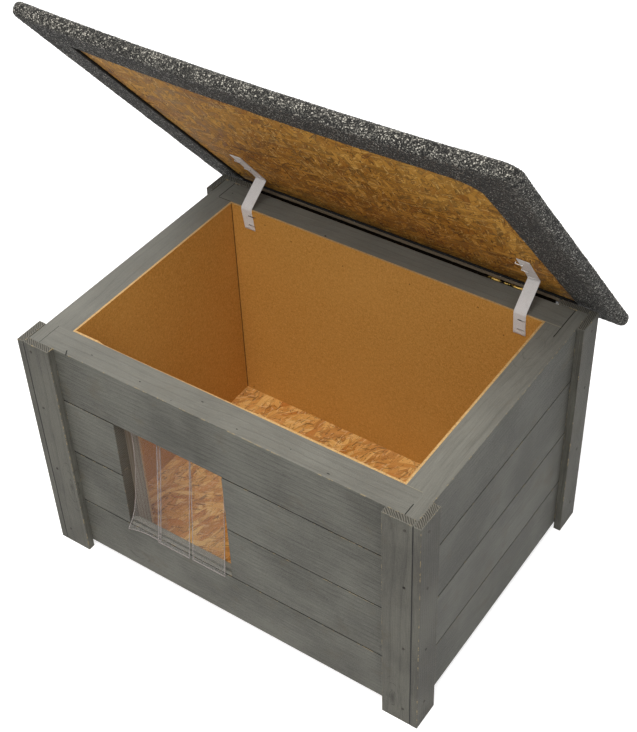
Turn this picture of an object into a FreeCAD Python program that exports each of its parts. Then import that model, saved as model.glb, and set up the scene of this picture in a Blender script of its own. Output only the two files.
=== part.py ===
import FreeCAD, Part
import math
import os

import Sketcher

# Timber dog house with a hinged, felt-covered lid. Millimetres; X to the right, Y to the back, Z up.
# The origin is on the ground, in the middle of the walls' footprint. The lid is drawn open.

os.makedirs("parts", exist_ok=True)
V = FreeCAD.Vector
doc = FreeCAD.newDocument("dog_house")
sheet = doc.addObject("Spreadsheet::Sheet", "Sizes")

SIZES = {
    # walls
    "walls_wide": 600, "walls_deep": 430, "plank_thick": 18, "plank_cover": 98,
    "bottom_cover": 88.5, "top_cover": 92.5, "tongue_high": 6, "tongue_thick": 6, "tongue_play": 0.3,
    "bevel": 1, "foot_gap": 12,
    # corner boards
    "board_thick": 11, "board_wide": 43, "side_board_wide": 44, "board_proud": 1,
    # inside
    "cavity": 23, "batten_high": 45, "lining_thick": 3, "floor_thick": 10, "jamb_wide": 45,
    # doorway, its left edge measured from the middle of the front
    "door_left": -170, "door_wide": 180,
    # curtain strips
    "strip_thick": 1.2, "strip_layer": 0.3, "strip_rest_gap": 0.3, "strip_drop": 1.2, "head_high": 28,
    "left_strip_from": 10, "left_strip_wide": 53, "strip_overlap": 5.5, "middle_strip_wide": 56,
    "right_strip_wide": 56, "strip_side_gap": 0.4,
    "left_strip_tail": 4, "middle_strip_tail": 5, "right_strip_tail": 6,
    # piano hinge
    "hinge_side_gap": 7, "pin_rad": 1.2, "pin_play": 0.05, "barrel_rad": 2.5, "leaf_thick": 1,
    "leaf_wide": 14, "knuckle_count": 25, "knuckle_play": 0.3,
    "packer_thick": 5, "wall_packer_high": 20, "lid_packer_wide": 22, "lid_packer_from": 6,
    "packer_top_drop": 2.8, "hinge_drop": 5.7, "leaf_play": 0.3,
    "screw_count": 9, "screw_end": 10, "screw_rad": 1.4, "screw_hole_play": 0.1,
    "screw_head_rad": 3, "screw_head_high": 1.2, "screw_long": 20, "screw_edge": 5.5,
    # lid, open by this angle
    "open_angle": 50, "side_overhang": 26.5, "front_overhang": 86.5, "lid_rear": 55,
    "lid_board_thick": 11, "felt_thick": 3.5, "felt_flap": 60, "rear_flap": 50,
    # straps, their nails and staples
    "strap_wide": 18.5, "strap_thick": 1.2, "strap_left_in": 37, "strap_right_in": 30,
    "strap_down": 35, "strap_lid_from": 50, "strap_lid_long": 100, "strap_lid_gap": 0.2,
    "staple_wide": 11, "staple_wire": 0.9, "staple_leg": 10, "staple_play": 0.2, "staple_first": 10,
    "staple_pitch": 16,
    "nail_rad": 0.9, "nail_head_rad": 1.9, "nail_head_high": 0.5, "nail_long": 28, "nail_inset": 11,
    "nail_rise_a": 16, "nail_rise_b": 55.5, "nail_rise_c": 76.5, "nail_rise_d": 80,
    "nail_shift_a": 12, "nail_shift_b": -5, "nail_shift_c": -5, "nail_shift_d": -5,
}
# derived levels and faces, each from the sizes above
DERIVED = {
    "half_wide": "walls_wide / 2", "half_deep": "walls_deep / 2",
    "in_x": "half_wide - plank_thick", "in_y": "half_deep - plank_thick",
    "cav_x": "in_x - cavity", "cav_y": "in_y - cavity",
    "room_x": "cav_x - lining_thick", "room_y": "cav_y - lining_thick",
    "level_a": "foot_gap + bottom_cover", "level_b": "level_a + plank_cover",
    "level_c": "level_b + plank_cover", "rim": "level_c + top_cover",
    "board_top": "rim + board_proud", "floor_top": "foot_gap + floor_thick",
    "batten_low": "rim - batten_high", "door_right": "door_left + door_wide",
    "front_y": "half_deep + board_thick", "side_x": "half_wide + board_thick",
    "hinge_y": "half_deep + packer_thick + barrel_rad", "hinge_z": "board_top - hinge_drop",
    "lid_low": "barrel_rad + packer_thick", "osb_low": "lid_low + felt_thick",
    "osb_high": "osb_low + lid_board_thick", "lid_high": "osb_high + felt_thick",
    "hinge_long": "2 * (half_wide - board_wide - hinge_side_gap)", "knuckle_pitch": "hinge_long / knuckle_count",
    "screw_pitch": "(hinge_long - 2 * screw_end) / (screw_count - 1)",
    "lid_wide": "2 * (side_x + side_overhang)", "lid_front": "hinge_y + front_y + front_overhang",
    "strap_left_at": "strap_left_in - room_x", "strap_right_at": "room_x - strap_right_in",
    "strip_z": "level_c - strip_drop", "strip_y": "in_y - strip_thick / 2",
    "strip_fall": "strip_z - level_a",
}


def cell(row, name, value):
    """Put one value in the sheet, under its alias."""
    sheet.set("A%d" % row, name)
    sheet.set("B%d" % row, value)
    sheet.setAlias("B%d" % row, name)


for i, (name, number) in enumerate(SIZES.items()):
    cell(i + 1, name, str(number))
for i, (name, formula) in enumerate(DERIVED.items()):
    cell(len(SIZES) + i + 1, name, "=" + formula)
doc.recompute()


def bound(text):
    """A formula in the sheet's words as an expression of the document."""
    out, word = "", ""
    for sign in str(text) + " ":
        if sign.isalnum() or sign == "_":
            word += sign
        else:
            out += ("Sizes." + word if word in SIZES or word in DERIVED else word) + sign
            word = ""
    return out.strip()


def value(text):
    """The number that a formula gives now."""
    return float(sheet.evalExpression(bound(text)))


def bind(item, where, text):
    """Bind one property of a document object to a formula."""
    item.setExpression(where, bound(text))


def place(item, at=None, tilt=None):
    """Bind an object's place, and for the lid's pieces the tilt about the hinge's line."""
    if tilt:
        item.Placement = FreeCAD.Placement(V(0, 0, 0), FreeCAD.Rotation(V(-1, 0, 0), value(tilt)))
        bind(item, "Placement.Rotation.Angle", tilt)
    for axis, text in zip("xyz", at or ("0", "0", "0")):
        bind(item, "Placement.Base." + axis, text)


def box(name, x, y, z):
    """A box between two formulas along each axis."""
    item = doc.addObject("Part::Box", name)
    for size, (low, high) in zip(("Length", "Width", "Height"), (x, y, z)):
        bind(item, size, "(%s) - (%s)" % (high, low))
    place(item, (x[0], y[0], z[0]))
    return item


def rod(name, radius, length, at, way):
    """A cylinder from a point along +X, +Y, -Y or +Z."""
    item = doc.addObject("Part::Cylinder", name)
    turn = {"+x": (V(0, 1, 0), 90), "-x": (V(0, 1, 0), -90), "+y": (V(1, 0, 0), -90),
            "-y": (V(1, 0, 0), 90), "+z": (V(1, 0, 0), 0)}[way]
    item.Placement = FreeCAD.Placement(V(0, 0, 0), FreeCAD.Rotation(*turn))
    bind(item, "Radius", radius)
    bind(item, "Height", length)
    for axis, text in zip("xyz", at):
        bind(item, "Placement.Base." + axis, text)
    return item


def cut(name, base, tool):
    """One shape less another."""
    item = doc.addObject("Part::Cut", name)
    item.Base, item.Tool = base, tool
    return item


def fuse(name, shapes):
    """Several shapes as one solid."""
    item = doc.addObject("Part::MultiFuse", name)
    item.Shapes = shapes
    item.Refine = True
    return item


def group(name, shapes):
    """Separate solids of one kind under one name."""
    item = doc.addObject("Part::Compound", name)
    item.Links = shapes
    return item


def sketch(body, name, role, points):
    """A closed outline on one of the body's own planes, every corner bound to the sheet."""
    plane = [f for f in body.Origin.OriginFeatures if f.Role == role][0]
    item = body.newObject("Sketcher::SketchObject", name)
    item.AttachmentSupport = [(plane, "")]
    item.MapMode = "FlatFace"
    at = [(value(u), value(w)) for u, w in points]
    for i, (u, w) in enumerate(at):
        nu, nw = at[(i + 1) % len(at)]
        item.addGeometry(Part.LineSegment(V(u, w, 0), V(nu, nw, 0)))
    for i in range(len(at)):
        item.addConstraint(Sketcher.Constraint("Coincident", i, 2, (i + 1) % len(at), 1))
    for i, (u, w) in enumerate(points):
        for kind, text, now, axis in (("DistanceX", u, at[i][0], -2), ("DistanceY", w, at[i][1], -1)):
            if abs(now) < 1e-9:
                item.addConstraint(Sketcher.Constraint("PointOnObject", i, 1, axis))
            else:
                k = item.addConstraint(Sketcher.Constraint(kind, -1, 1, i, 1, now))
                bind(item, "Constraints[%d]" % k, text)
    return item


def pad(body, name, profile, length, back=False):
    """The outline pushed out by a length."""
    item = body.newObject("PartDesign::Pad", name)
    item.Profile = profile
    item.Reversed = back
    bind(item, "Length", length)
    body.Tip = item
    return item


nodes = []


def keep(item):
    """Name a finished piece as one of the assembly's nodes."""
    nodes.append(item)
    return item


# ---- walls: tongued and grooved planks ---------------------------------------------------------

LEVELS = ["foot_gap", "level_a", "level_b", "level_c", "rim"]
ROWS = ["bottom", "lower", "upper", "top"]


def plank_outline(row, sign, inner):
    """One plank's section: groove below, tongue above, bevelled outer edges. inner is its back face."""
    low, high = LEVELS[row], LEVELS[row + 1]

    def u(text):
        return "%d * (%s + %s)" % (sign, inner, text)

    half, play = "tongue_thick / 2", "tongue_play"
    mid, out = "plank_thick / 2", "plank_thick"
    pts = [(u("0"), low)]
    if row > 0:
        pts += [(u("%s - %s - %s" % (mid, half, play)), low),
                (u("%s - %s - %s" % (mid, half, play)), low + " + tongue_high + tongue_play"),
                (u("%s + %s + %s" % (mid, half, play)), low + " + tongue_high + tongue_play"),
                (u("%s + %s + %s" % (mid, half, play)), low)]
    pts += [(u(out + " - bevel"), low), (u(out), low + " + bevel"),
            (u(out), high + " - bevel"), (u(out + " - bevel"), high)]
    if row < 3:
        pts += [(u("%s + %s" % (mid, half)), high), (u("%s + %s" % (mid, half)), high + " + tongue_high"),
                (u("%s - %s" % (mid, half)), high + " + tongue_high"), (u("%s - %s" % (mid, half)), high)]
    return pts + [(u("0"), high)]


def plank(name, row, wall, low, high):
    """A plank of one row. Front and back planks run along X, left and right ones along Y."""
    body = doc.addObject("PartDesign::Body", name)
    along_x = wall in ("front", "back")
    sign = 1 if wall in ("back", "right") else -1
    outline = plank_outline(row, sign, "in_y" if along_x else "in_x")
    profile = sketch(body, name + "_outline", "YZ_Plane" if along_x else "XZ_Plane", outline)
    pad(body, name + "_length", profile, "(%s) - (%s)" % (high, low))
    place(body, (low, "0", "0") if along_x else ("0", high, "0"))
    return body


for row, label in enumerate(ROWS):
    if label in ("lower", "upper"):
        keep(plank("front_plank_%s_left" % label, row, "front", "-in_x", "door_left"))
        keep(plank("front_plank_%s_right" % label, row, "front", "door_right", "in_x"))
    elif label == "top":
        keep(plank("front_plank_top", row, "front", "-in_x", "in_x"))
    else:
        # the sill has no tongue in the doorway
        tongue = box("sill_trim", ("door_left", "door_right"), ("-half_deep - 5", "-in_y + 5"),
                     ("level_a", "level_a + tongue_high + 5"))
        keep(cut("front_plank_bottom", plank("sill_plank", row, "front", "-in_x", "in_x"), tongue))
    keep(plank("back_plank_%s" % label, row, "back", "-in_x", "in_x"))
    for wall in ("left", "right"):
        keep(plank("%s_plank_%s" % (wall, label), row, wall, "-half_deep", "half_deep"))

# ---- corner boards: they carry the house ---------------------------------------------------------

for side, sx in (("left", -1), ("right", 1)):
    for end, sy in (("front", -1), ("back", 1)):
        faces = ["%d * half_wide" % sx, "%d * (half_wide - board_wide)" % sx]
        edge = ["%d * front_y" % sy, "%d * half_deep" % sy]
        keep(box("%s_%s_%s_board" % (end, side, end), tuple(faces[::sx * -1][:2]),
                 tuple(edge[::sy * -1][:2]), ("0", "board_top")))
        faces = ["%d * side_x" % sx, "%d * half_wide" % sx]
        edge = ["%d * front_y" % sy, "%d * (front_y - side_board_wide)" % sy]
        keep(box("%s_%s_side_board" % (end, side), tuple(faces[::sx * -1][:2]),
                 tuple(edge[::sy * -1][:2]), ("0", "board_top")))

# ---- battens, insulation, lining and floor -------------------------------------------------------

keep(box("floor_panel", ("-in_x", "in_x"), ("-in_y", "in_y"), ("foot_gap", "floor_top")))
keep(box("front_top_batten", ("-in_x", "in_x"), ("-in_y", "-cav_y"), ("batten_low", "rim")))
keep(box("back_top_batten", ("-in_x", "in_x"), ("cav_y", "in_y"), ("batten_low", "rim")))
keep(box("left_top_batten", ("-in_x", "-cav_x"), ("-cav_y", "cav_y"), ("batten_low", "rim")))
keep(box("right_top_batten", ("cav_x", "in_x"), ("-cav_y", "cav_y"), ("batten_low", "rim")))

jamb_l, jamb_r = "door_left - jamb_wide", "door_right + jamb_wide"
low_level = ("floor_top", "floor_top + batten_high")
keep(group("bottom_battens", [
    box("batten_front_left", ("-cav_x", jamb_l), ("-in_y", "-cav_y"), low_level),
    box("batten_front_right", (jamb_r, "cav_x"), ("-in_y", "-cav_y"), low_level),
    box("batten_back", ("-cav_x", "cav_x"), ("cav_y", "in_y"), low_level),
    box("batten_left", ("-in_x", "-cav_x"), ("-cav_y", "cav_y"), low_level),
    box("batten_right", ("cav_x", "in_x"), ("-cav_y", "cav_y"), low_level)]))
upright = ("floor_top", "batten_low")
posts = [box("post_%d%d" % (i, j), x, y, upright)
         for i, x in enumerate((("-in_x", "-cav_x"), ("cav_x", "in_x")))
         for j, y in enumerate((("-in_y", "-cav_y"), ("cav_y", "in_y")))]
posts += [box("jamb_left", (jamb_l, "door_left"), ("-in_y", "-cav_y"), upright),
          box("jamb_right", ("door_right", jamb_r), ("-in_y", "-cav_y"), upright)]
keep(group("upright_battens", posts))
keep(box("lintel_batten", ("door_left", "door_right"), ("-in_y + 2 * strip_thick + 0.2", "-cav_y"),
         ("level_c", "batten_low")))

fill = ("floor_top + batten_high", "batten_low")
keep(group("front_insulation", [
    box("foam_front_left", ("-cav_x", jamb_l), ("-in_y", "-cav_y"), fill),
    box("foam_front_right", (jamb_r, "cav_x"), ("-in_y", "-cav_y"), fill)]))
keep(box("back_insulation", ("-cav_x", "cav_x"), ("cav_y", "in_y"), fill))
keep(box("left_insulation", ("-in_x", "-cav_x"), ("-cav_y", "cav_y"), fill))
keep(box("right_insulation", ("cav_x", "in_x"), ("-cav_y", "cav_y"), fill))

tall = ("floor_top", "rim")
keep(cut("front_lining", box("front_sheet", ("-cav_x", "cav_x"), ("-cav_y", "-room_y"), tall),
         box("door_cut", ("door_left", "door_right"), ("-cav_y - 5", "-room_y + 5"),
             ("floor_top - 5", "level_c"))))
keep(box("back_lining", ("-cav_x", "cav_x"), ("room_y", "cav_y"), tall))
keep(box("left_lining", ("-cav_x", "-room_x"), ("-room_y", "room_y"), tall))
keep(box("right_lining", ("room_x", "cav_x"), ("-room_y", "room_y"), tall))

# ---- curtain strips: each turns about the lintel's lower back edge -------------------------------

STRIPS = {  # left edge, width, layer (0 next to the plank, 1 behind it), tail below the sill's edge
    "left": ("door_left + left_strip_from", "left_strip_wide", 1, "left_strip_tail"),
    "middle": ("door_left + left_strip_from + left_strip_wide - strip_overlap", "middle_strip_wide", 0,
               "middle_strip_tail"),
    "right": ("door_left + left_strip_from + left_strip_wide - strip_overlap + middle_strip_wide"
              " + strip_side_gap", "right_strip_wide", 0, "right_strip_tail"),
}


def strip_lean(layers):
    """Angle from the vertical, so that the innermost layer just clears the sill's outer edge."""
    out = value("plank_thick + strip_thick / 2 + strip_rest_gap")
    inner = value("strip_thick / 2") + layers * value("strip_thick + strip_layer")
    fall = value("strip_fall")
    lean = 0.0
    for _ in range(20):
        lean = math.atan((out + inner / math.cos(lean)) / fall)
    return lean


def curtain_strip(side):
    """A slab with a rounded top on the pivot line, leaning out over the sill."""
    left, wide, layer, tail = STRIPS[side]
    lean = strip_lean(0 if side == "right" else 1)
    rad, step = value("strip_thick / 2"), value("strip_thick + strip_layer") * layer
    long = (value("strip_fall") + value(tail)) / math.cos(lean)
    shift = V(0, step, 0)
    a, b = V(0, -rad, 0) + shift, V(0, rad, 0) + shift
    drop = V(0, 0, -long)
    wire = Part.Wire([Part.LineSegment(b, b + drop).toShape(), Part.LineSegment(b + drop, a + drop).toShape(),
                      Part.LineSegment(a + drop, a).toShape(),
                      Part.Arc(a, V(0, 0, rad) + shift, b).toShape()])
    item = doc.addObject("Part::Feature", "door_strip_" + side)
    slab = Part.Face(wire).extrude(V(value(wide), 0, 0))
    slab.rotate(V(0, 0, 0), V(-1, 0, 0), math.degrees(lean))
    item.Shape = slab
    item.Placement = FreeCAD.Placement(V(value(left), -value("strip_y"), value("strip_z")),
                                       item.Placement.Rotation)
    return item


for side in STRIPS:
    keep(curtain_strip(side))
heads = []
for side, (left, wide, layer, tail) in STRIPS.items():
    front = "-in_y + %d * strip_thick" % layer
    heads.append(box("head_" + side, (left, "%s + %s" % (left, wide)), (front, front + " + strip_thick"),
                     ("strip_z + strip_thick / 2 + 0.3", "strip_z + head_high")))
keep(group("strip_heads", heads))

# ---- piano hinge: wall half ---------------------------------------------------------------------

half_hinge = "hinge_long / 2"
keep(box("hinge_packer_wall", ("-" + half_hinge, half_hinge), ("half_deep", "half_deep + packer_thick"),
         ("hinge_z - packer_top_drop - wall_packer_high", "hinge_z - packer_top_drop")))


def leaf(name, first, count, sign_down):
    """A hinge leaf with its knuckles, drawn about the pin's line: the leaf runs along local -Z for
    the wall (tangent at local -Y), or along local +Y for the lid (tangent at local +Z)."""
    body = doc.addObject("PartDesign::Body", name)
    back, near = "-barrel_rad", "-barrel_rad + leaf_thick"
    clear = "-(barrel_rad + leaf_play)"
    if not sign_down:
        def flip(pts):
            return [("-(%s)" % w, "-(%s)" % u) for u, w in pts]
    else:
        def flip(pts):
            return pts
    plate = sketch(body, name + "_plate", "YZ_Plane",
                   flip([(back, "-leaf_wide"), (near, "-leaf_wide"), (near, clear), (back, clear)]))
    pad(body, name + "_plate_pad", plate, "hinge_long")
    tab = sketch(body, name + "_tab", "YZ_Plane",
                 flip([(back, "-(barrel_rad + leaf_play) - 1"), (near, "-(barrel_rad + leaf_play) - 1"),
                       (near, "0"), (back, "0")]))
    tab.AttachmentOffset = FreeCAD.Placement(V(0, 0, value(first)), FreeCAD.Rotation())
    bind(tab, "AttachmentOffset.Base.z", first)
    tabs = pad(body, name + "_tab_pad", tab, "knuckle_pitch - knuckle_play")
    plane = [f for f in body.Origin.OriginFeatures if f.Role == "YZ_Plane"][0]
    ring = body.newObject("Sketcher::SketchObject", name + "_ring")
    ring.AttachmentSupport = [(plane, "")]
    ring.MapMode = "FlatFace"
    ring.AttachmentOffset = FreeCAD.Placement(V(0, 0, value(first)), FreeCAD.Rotation())
    bind(ring, "AttachmentOffset.Base.z", first)
    ring.addGeometry(Part.Circle(V(0, 0, 0), V(0, 0, 1), value("barrel_rad")))
    ring.addConstraint(Sketcher.Constraint("Coincident", 0, 3, -1, 1))
    k = ring.addConstraint(Sketcher.Constraint("Radius", 0, value("barrel_rad")))
    bind(ring, "Constraints[%d]" % k, "barrel_rad")
    rings = pad(body, name + "_ring_pad", ring, "knuckle_pitch - knuckle_play")
    doc.recompute()
    row = body.newObject("PartDesign::LinearPattern", name + "_knuckles")
    row.Originals = [tabs, rings]
    row.Direction = ([f for f in body.Origin.OriginFeatures if f.Role == "X_Axis"][0], [""])
    bind(row, "Length", "2 * knuckle_pitch * (%s - 1)" % count)
    bind(row, "Occurrences", count)
    body.Tip = row
    bore = body.newObject("Sketcher::SketchObject", name + "_bore")
    bore.AttachmentSupport = [(plane, "")]
    bore.MapMode = "FlatFace"
    bore.addGeometry(Part.Circle(V(0, 0, 0), V(0, 0, 1), value("pin_rad + pin_play")))
    bore.addConstraint(Sketcher.Constraint("Coincident", 0, 3, -1, 1))
    k = bore.addConstraint(Sketcher.Constraint("Radius", 0, value("pin_rad + pin_play")))
    bind(bore, "Constraints[%d]" % k, "pin_rad + pin_play")
    hole = body.newObject("PartDesign::Pocket", name + "_bore_cut")
    hole.Profile = bore
    hole.Type = "ThroughAll"
    hole.Reversed = True
    body.Tip = hole
    doc.recompute()
    if hole.Shape.Volume >= row.Shape.Volume - 1:
        hole.Reversed = False
        doc.recompute()
    return body


def screw_holes(name, base, at, way):
    """The leaf with its row of screw holes; at gives the row's y and z in the leaf's own frame."""
    tools = [rod("%s_hole_%d" % (name, i), "screw_rad + screw_hole_play", "leaf_thick + 4",
                 (screw_x(i) + " + hinge_long / 2", at[0], at[1]), way) for i in range(count_of("screw_count"))]
    return cut(name, base, group(name + "_holes", tools))


def count_of(word):
    """A count from the sheet as a whole number."""
    return int(round(value(word)))


def screw_x(i):
    """Place of one screw along the hinge."""
    return "screw_pitch * (%d - (screw_count - 1) / 2)" % i


wall_count, lid_count = "(knuckle_count + 1) / 2", "(knuckle_count - 1) / 2"
wall_leaf = leaf("wall_leaf", "knuckle_play / 2", wall_count, True)
lid_leaf = leaf("lid_leaf", "knuckle_pitch + knuckle_play / 2", lid_count, False)
item = screw_holes("hinge_leaf_wall", wall_leaf, ("-barrel_rad - 2", "-leaf_wide + screw_edge"), "+y")
place(item, ("-" + half_hinge, "hinge_y", "hinge_z"))
keep(item)
item = screw_holes("hinge_leaf_lid", lid_leaf, ("leaf_wide - screw_edge", "barrel_rad - leaf_thick - 2"), "+z")
place(item, ("-" + half_hinge, "hinge_y", "hinge_z"), "open_angle")
keep(item)

keep(rod("hinge_pin", "pin_rad", "hinge_long", ("-" + half_hinge, "hinge_y", "hinge_z"), "+x"))

wall_screws, lid_screws = [], []
for i in range(count_of("screw_count")):
    z = "hinge_z - leaf_wide + screw_edge"
    face = "half_deep + packer_thick + leaf_thick"
    wall_screws.append(fuse("wall_screw_%d" % i, [
        rod("wall_screw_head_%d" % i, "screw_head_rad", "screw_head_high", (screw_x(i), face, z), "+y"),
        rod("wall_screw_shank_%d" % i, "screw_rad", "screw_long + 1", (screw_x(i), face + " + 1", z), "-y")]))
    face = "barrel_rad - leaf_thick"
    y = "leaf_wide - screw_edge"
    lid_screws.append(fuse("lid_screw_%d" % i, [
        rod("lid_screw_head_%d" % i, "screw_head_rad", "screw_head_high",
            (screw_x(i), y, face + " - screw_head_high"), "+z"),
        rod("lid_screw_shank_%d" % i, "screw_rad", "screw_long - 1", (screw_x(i), y, face + " - 1"), "+z")]))
keep(group("hinge_screws_wall", wall_screws))
item = keep(group("hinge_screws_lid", lid_screws))
place(item, ("0", "hinge_y", "hinge_z"), "open_angle")

# ---- lid: board, felt and packer, drawn about the pin's line and tilted open ----------------------

osb = (("-lid_wide / 2 + felt_thick", "lid_wide / 2 - felt_thick"),
       ("-lid_front + felt_thick", "lid_rear - felt_thick"), ("osb_low", "osb_high"))
board = keep(box("lid_board", *osb))
board.Placement = FreeCAD.Placement(V(0, 0, 0), FreeCAD.Rotation(V(-1, 0, 0), value("open_angle")))
bind(board, "Placement.Rotation.Angle", "open_angle")


def tilted_corner(item, x, y, z):
    """Put an untilted box's low corner, given about the pin's line, where the open lid has it."""
    turn = "open_angle * 1deg"
    bind(item, "Placement.Base.x", x)
    bind(item, "Placement.Base.y", "hinge_y + (%s) * cos(%s) + (%s) * sin(%s)" % (y, turn, z, turn))
    bind(item, "Placement.Base.z", "hinge_z - (%s) * sin(%s) + (%s) * cos(%s)" % (y, turn, z, turn))


tilted_corner(board, osb[0][0], osb[1][0], osb[2][0])
packer = keep(box("hinge_packer_lid", ("-" + half_hinge, half_hinge),
                  ("lid_packer_from", "lid_packer_from + lid_packer_wide"), ("barrel_rad", "lid_low")))
packer.Placement = FreeCAD.Placement(V(0, 0, 0), FreeCAD.Rotation(V(-1, 0, 0), value("open_angle")))
bind(packer, "Placement.Rotation.Angle", "open_angle")
tilted_corner(packer, "-" + half_hinge, "lid_packer_from", "barrel_rad")

wrap = box("felt_wrap", ("-lid_wide / 2", "lid_wide / 2"), ("-lid_front", "lid_rear"), ("lid_low", "lid_high"))
hollow = fuse("felt_hollow", [
    box("felt_room", *osb),
    box("felt_mouth", ("-lid_wide / 2 + felt_flap", "lid_wide / 2 - felt_flap"),
        ("-lid_front + felt_flap", "lid_rear - rear_flap"), ("lid_low - 5", "osb_low + 1"))])
felt = keep(cut("lid_felt", wrap, hollow))
place(felt, ("0", "hinge_y", "hinge_z"), "open_angle")

# ---- straps: from the back lining over the rim to the lid's underside, taut ----------------------


def lid_point(v, n):
    """A point of the open lid: v in front of the pin along the lid, n above it."""
    turn = math.radians(value("open_angle"))
    return V(0, value("hinge_y") - v * math.cos(turn) + n * math.sin(turn),
             value("hinge_z") + v * math.sin(turn) + n * math.cos(turn))


def crossing(p, d, q, e):
    """Where the line from p along d meets the one from q along e, in the YZ plane."""
    k = ((q.y - p.y) * e.z - (q.z - p.z) * e.y) / (d.y * e.z - d.z * e.y)
    return p + d * k


def strap_outline():
    """The strap's edges seen from the side: stapled leg, free span and the leg under the lid."""
    thick, under = value("strap_thick"), value("osb_low - strap_lid_gap")
    start, far = value("strap_lid_from"), value("strap_lid_from + strap_lid_long")
    outer = [V(0, value("room_y"), value("rim - strap_down")), V(0, value("room_y"), value("rim")),
             lid_point(start, under), lid_point(far, under)]
    ways = [(b - a).normalize() for a, b in zip(outer, outer[1:])]
    sides = [V(0, -w.z, w.y) * thick for w in ways]
    inner = [outer[0] + sides[0]]
    for i in range(2):
        inner.append(crossing(outer[i] + sides[i], ways[i], outer[i + 1] + sides[i + 1], ways[i + 1]))
    inner.append(outer[3] + sides[2])
    return outer + inner[::-1]


def staple_slots():
    """Room in the strap for the legs of the lid's staples, about the strap's left edge."""
    wire, play = value("staple_wire"), value("staple_play")
    size, slots = wire + 2 * play, []
    for k in range(3):
        for sign in (-1, 1):
            x = value("strap_wide / 2") + sign * value("staple_wide / 2 - staple_wire / 2")
            slot = Part.makeBox(size, size, value("strap_thick") + 4,
                                V(x - size / 2, value(lid_staple_at(k)) - size / 2,
                                  value("osb_low - strap_lid_gap - strap_thick") - 2))
            slot.rotate(V(0, 0, 0), V(-1, 0, 0), value("open_angle"))
            slot.translate(V(0, value("hinge_y"), value("hinge_z")))
            slots.append(slot)
    return slots


def lid_staple_at(k):
    """Place of one of the lid's staples along the lid."""
    return "-strap_lid_from - 12 - %d * 2 * staple_pitch" % k


for side in ("left", "right"):
    points = strap_outline()
    item = doc.addObject("Part::Feature", "strap_" + side)
    band = Part.Face(Part.makePolygon(points + points[:1])).extrude(V(value("strap_wide"), 0, 0))
    item.Shape = band.cut(staple_slots())
    item.Placement = FreeCAD.Placement(V(value("strap_%s_at - strap_wide / 2" % side), 0, 0),
                                       FreeCAD.Rotation())
    keep(item)


def staple(name, x, y, z, way):
    """A crown with two legs of square wire; way is the legs' direction."""
    half, thick = "staple_wide / 2", "staple_wire / 2"
    around = {"y": ("%s - %s" % (y, thick), "%s + %s" % (y, thick)),
              "z": ("%s - %s" % (z, thick), "%s + %s" % (z, thick))}
    parts = [box(name + "_crown", ("%s - %s" % (x, half), "%s + %s" % (x, half)), around["y"], around["z"])]
    around[way] = (around[way][0], around[way][0] + " + staple_leg")
    for tag, low, high in (("a", "-" + half, "-%s + staple_wire" % half), ("b", half + " - staple_wire", half)):
        parts.append(box(name + "_leg_" + tag, (x + " + " + low, x + " + " + high), around["y"], around["z"]))
    return fuse(name, parts)


house_staples, lid_staples = [], []
for side in ("left", "right"):
    for k in range(2):
        house_staples.append(staple("house_staple_%s_%d" % (side, k), "strap_%s_at" % side,
                                    "room_y - strap_thick - staple_wire / 2",
                                    "rim - staple_first - %d * staple_pitch" % k, "y"))
    for k in range(3):
        lid_staples.append(staple("lid_staple_%s_%d" % (side, k), "strap_%s_at" % side,
                                  lid_staple_at(k), "osb_low - strap_lid_gap - strap_thick - staple_play"
                                  " - staple_wire / 2", "z"))
keep(group("strap_staples_house", house_staples))
item = keep(group("strap_staples_lid", lid_staples))
place(item, ("0", "hinge_y", "hinge_z"), "open_angle")

# ---- nails of the corner boards -----------------------------------------------------------------

nails = []
for i, (low, tag) in enumerate(zip(LEVELS, "abcd")):
    high = "%s + nail_rise_%s" % (low, tag)
    for sx in (-1, 1):
        for sy in (-1, 1):
            stem = "%d%s%s" % (i, "lr"[(sx + 1) // 2], "fb"[(sy + 1) // 2])
            x = "%d * (half_wide - nail_inset)" % sx
            way = ("+y", "-y")[(sy + 1) // 2]
            top = "%d * (front_y + nail_head_high)" % sy
            nails.append(fuse("nail_a" + stem, [
                rod("nail_a_head" + stem, "nail_head_rad", "nail_head_high", (x, top, high), way),
                rod("nail_a_shank" + stem, "nail_rad", "nail_long", (x, top, high), way)]))
            y = "%d * (half_deep - nail_inset + 4)" % sy
            way = ("+x", "-x")[(sx + 1) // 2]
            top = "%d * (side_x + nail_head_high)" % sx
            spot = "%s + nail_shift_%s" % (high, tag)
            nails.append(fuse("nail_b" + stem, [
                rod("nail_b_head" + stem, "nail_head_rad", "nail_head_high", (top, y, spot), way),
                rod("nail_b_shank" + stem, "nail_rad", "nail_long", (top, y, spot), way)]))
keep(group("board_nails", nails))

# ---- check and write ----------------------------------------------------------------------------

doc.recompute()
for item in doc.Objects:
    if any(word in ("Invalid", "Error") for word in item.State):
        raise SystemExit("%s failed: %s" % (item.Name, item.State))
for item in nodes:
    item.Label = item.Name
    if item.Shape.isNull() or not item.Shape.isValid():
        raise SystemExit("%s has no valid shape" % item.Name)
for item in nodes:
    item.Shape.exportStep("parts/%s.step" % item.Name)
print("%d nodes, %d solids" % (len(nodes), sum(len(item.Shape.Solids) for item in nodes)))
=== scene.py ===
"""Looks of a timber dog house: grey stained boards, brown lining, strand board, felt and webbing."""

import logging
import math
import random
from dataclasses import dataclass, field
from enum import Enum
from typing import Callable, Iterable, Sequence, Union

import bmesh
import bpy
from mathutils import Matrix, Vector, noise


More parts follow.
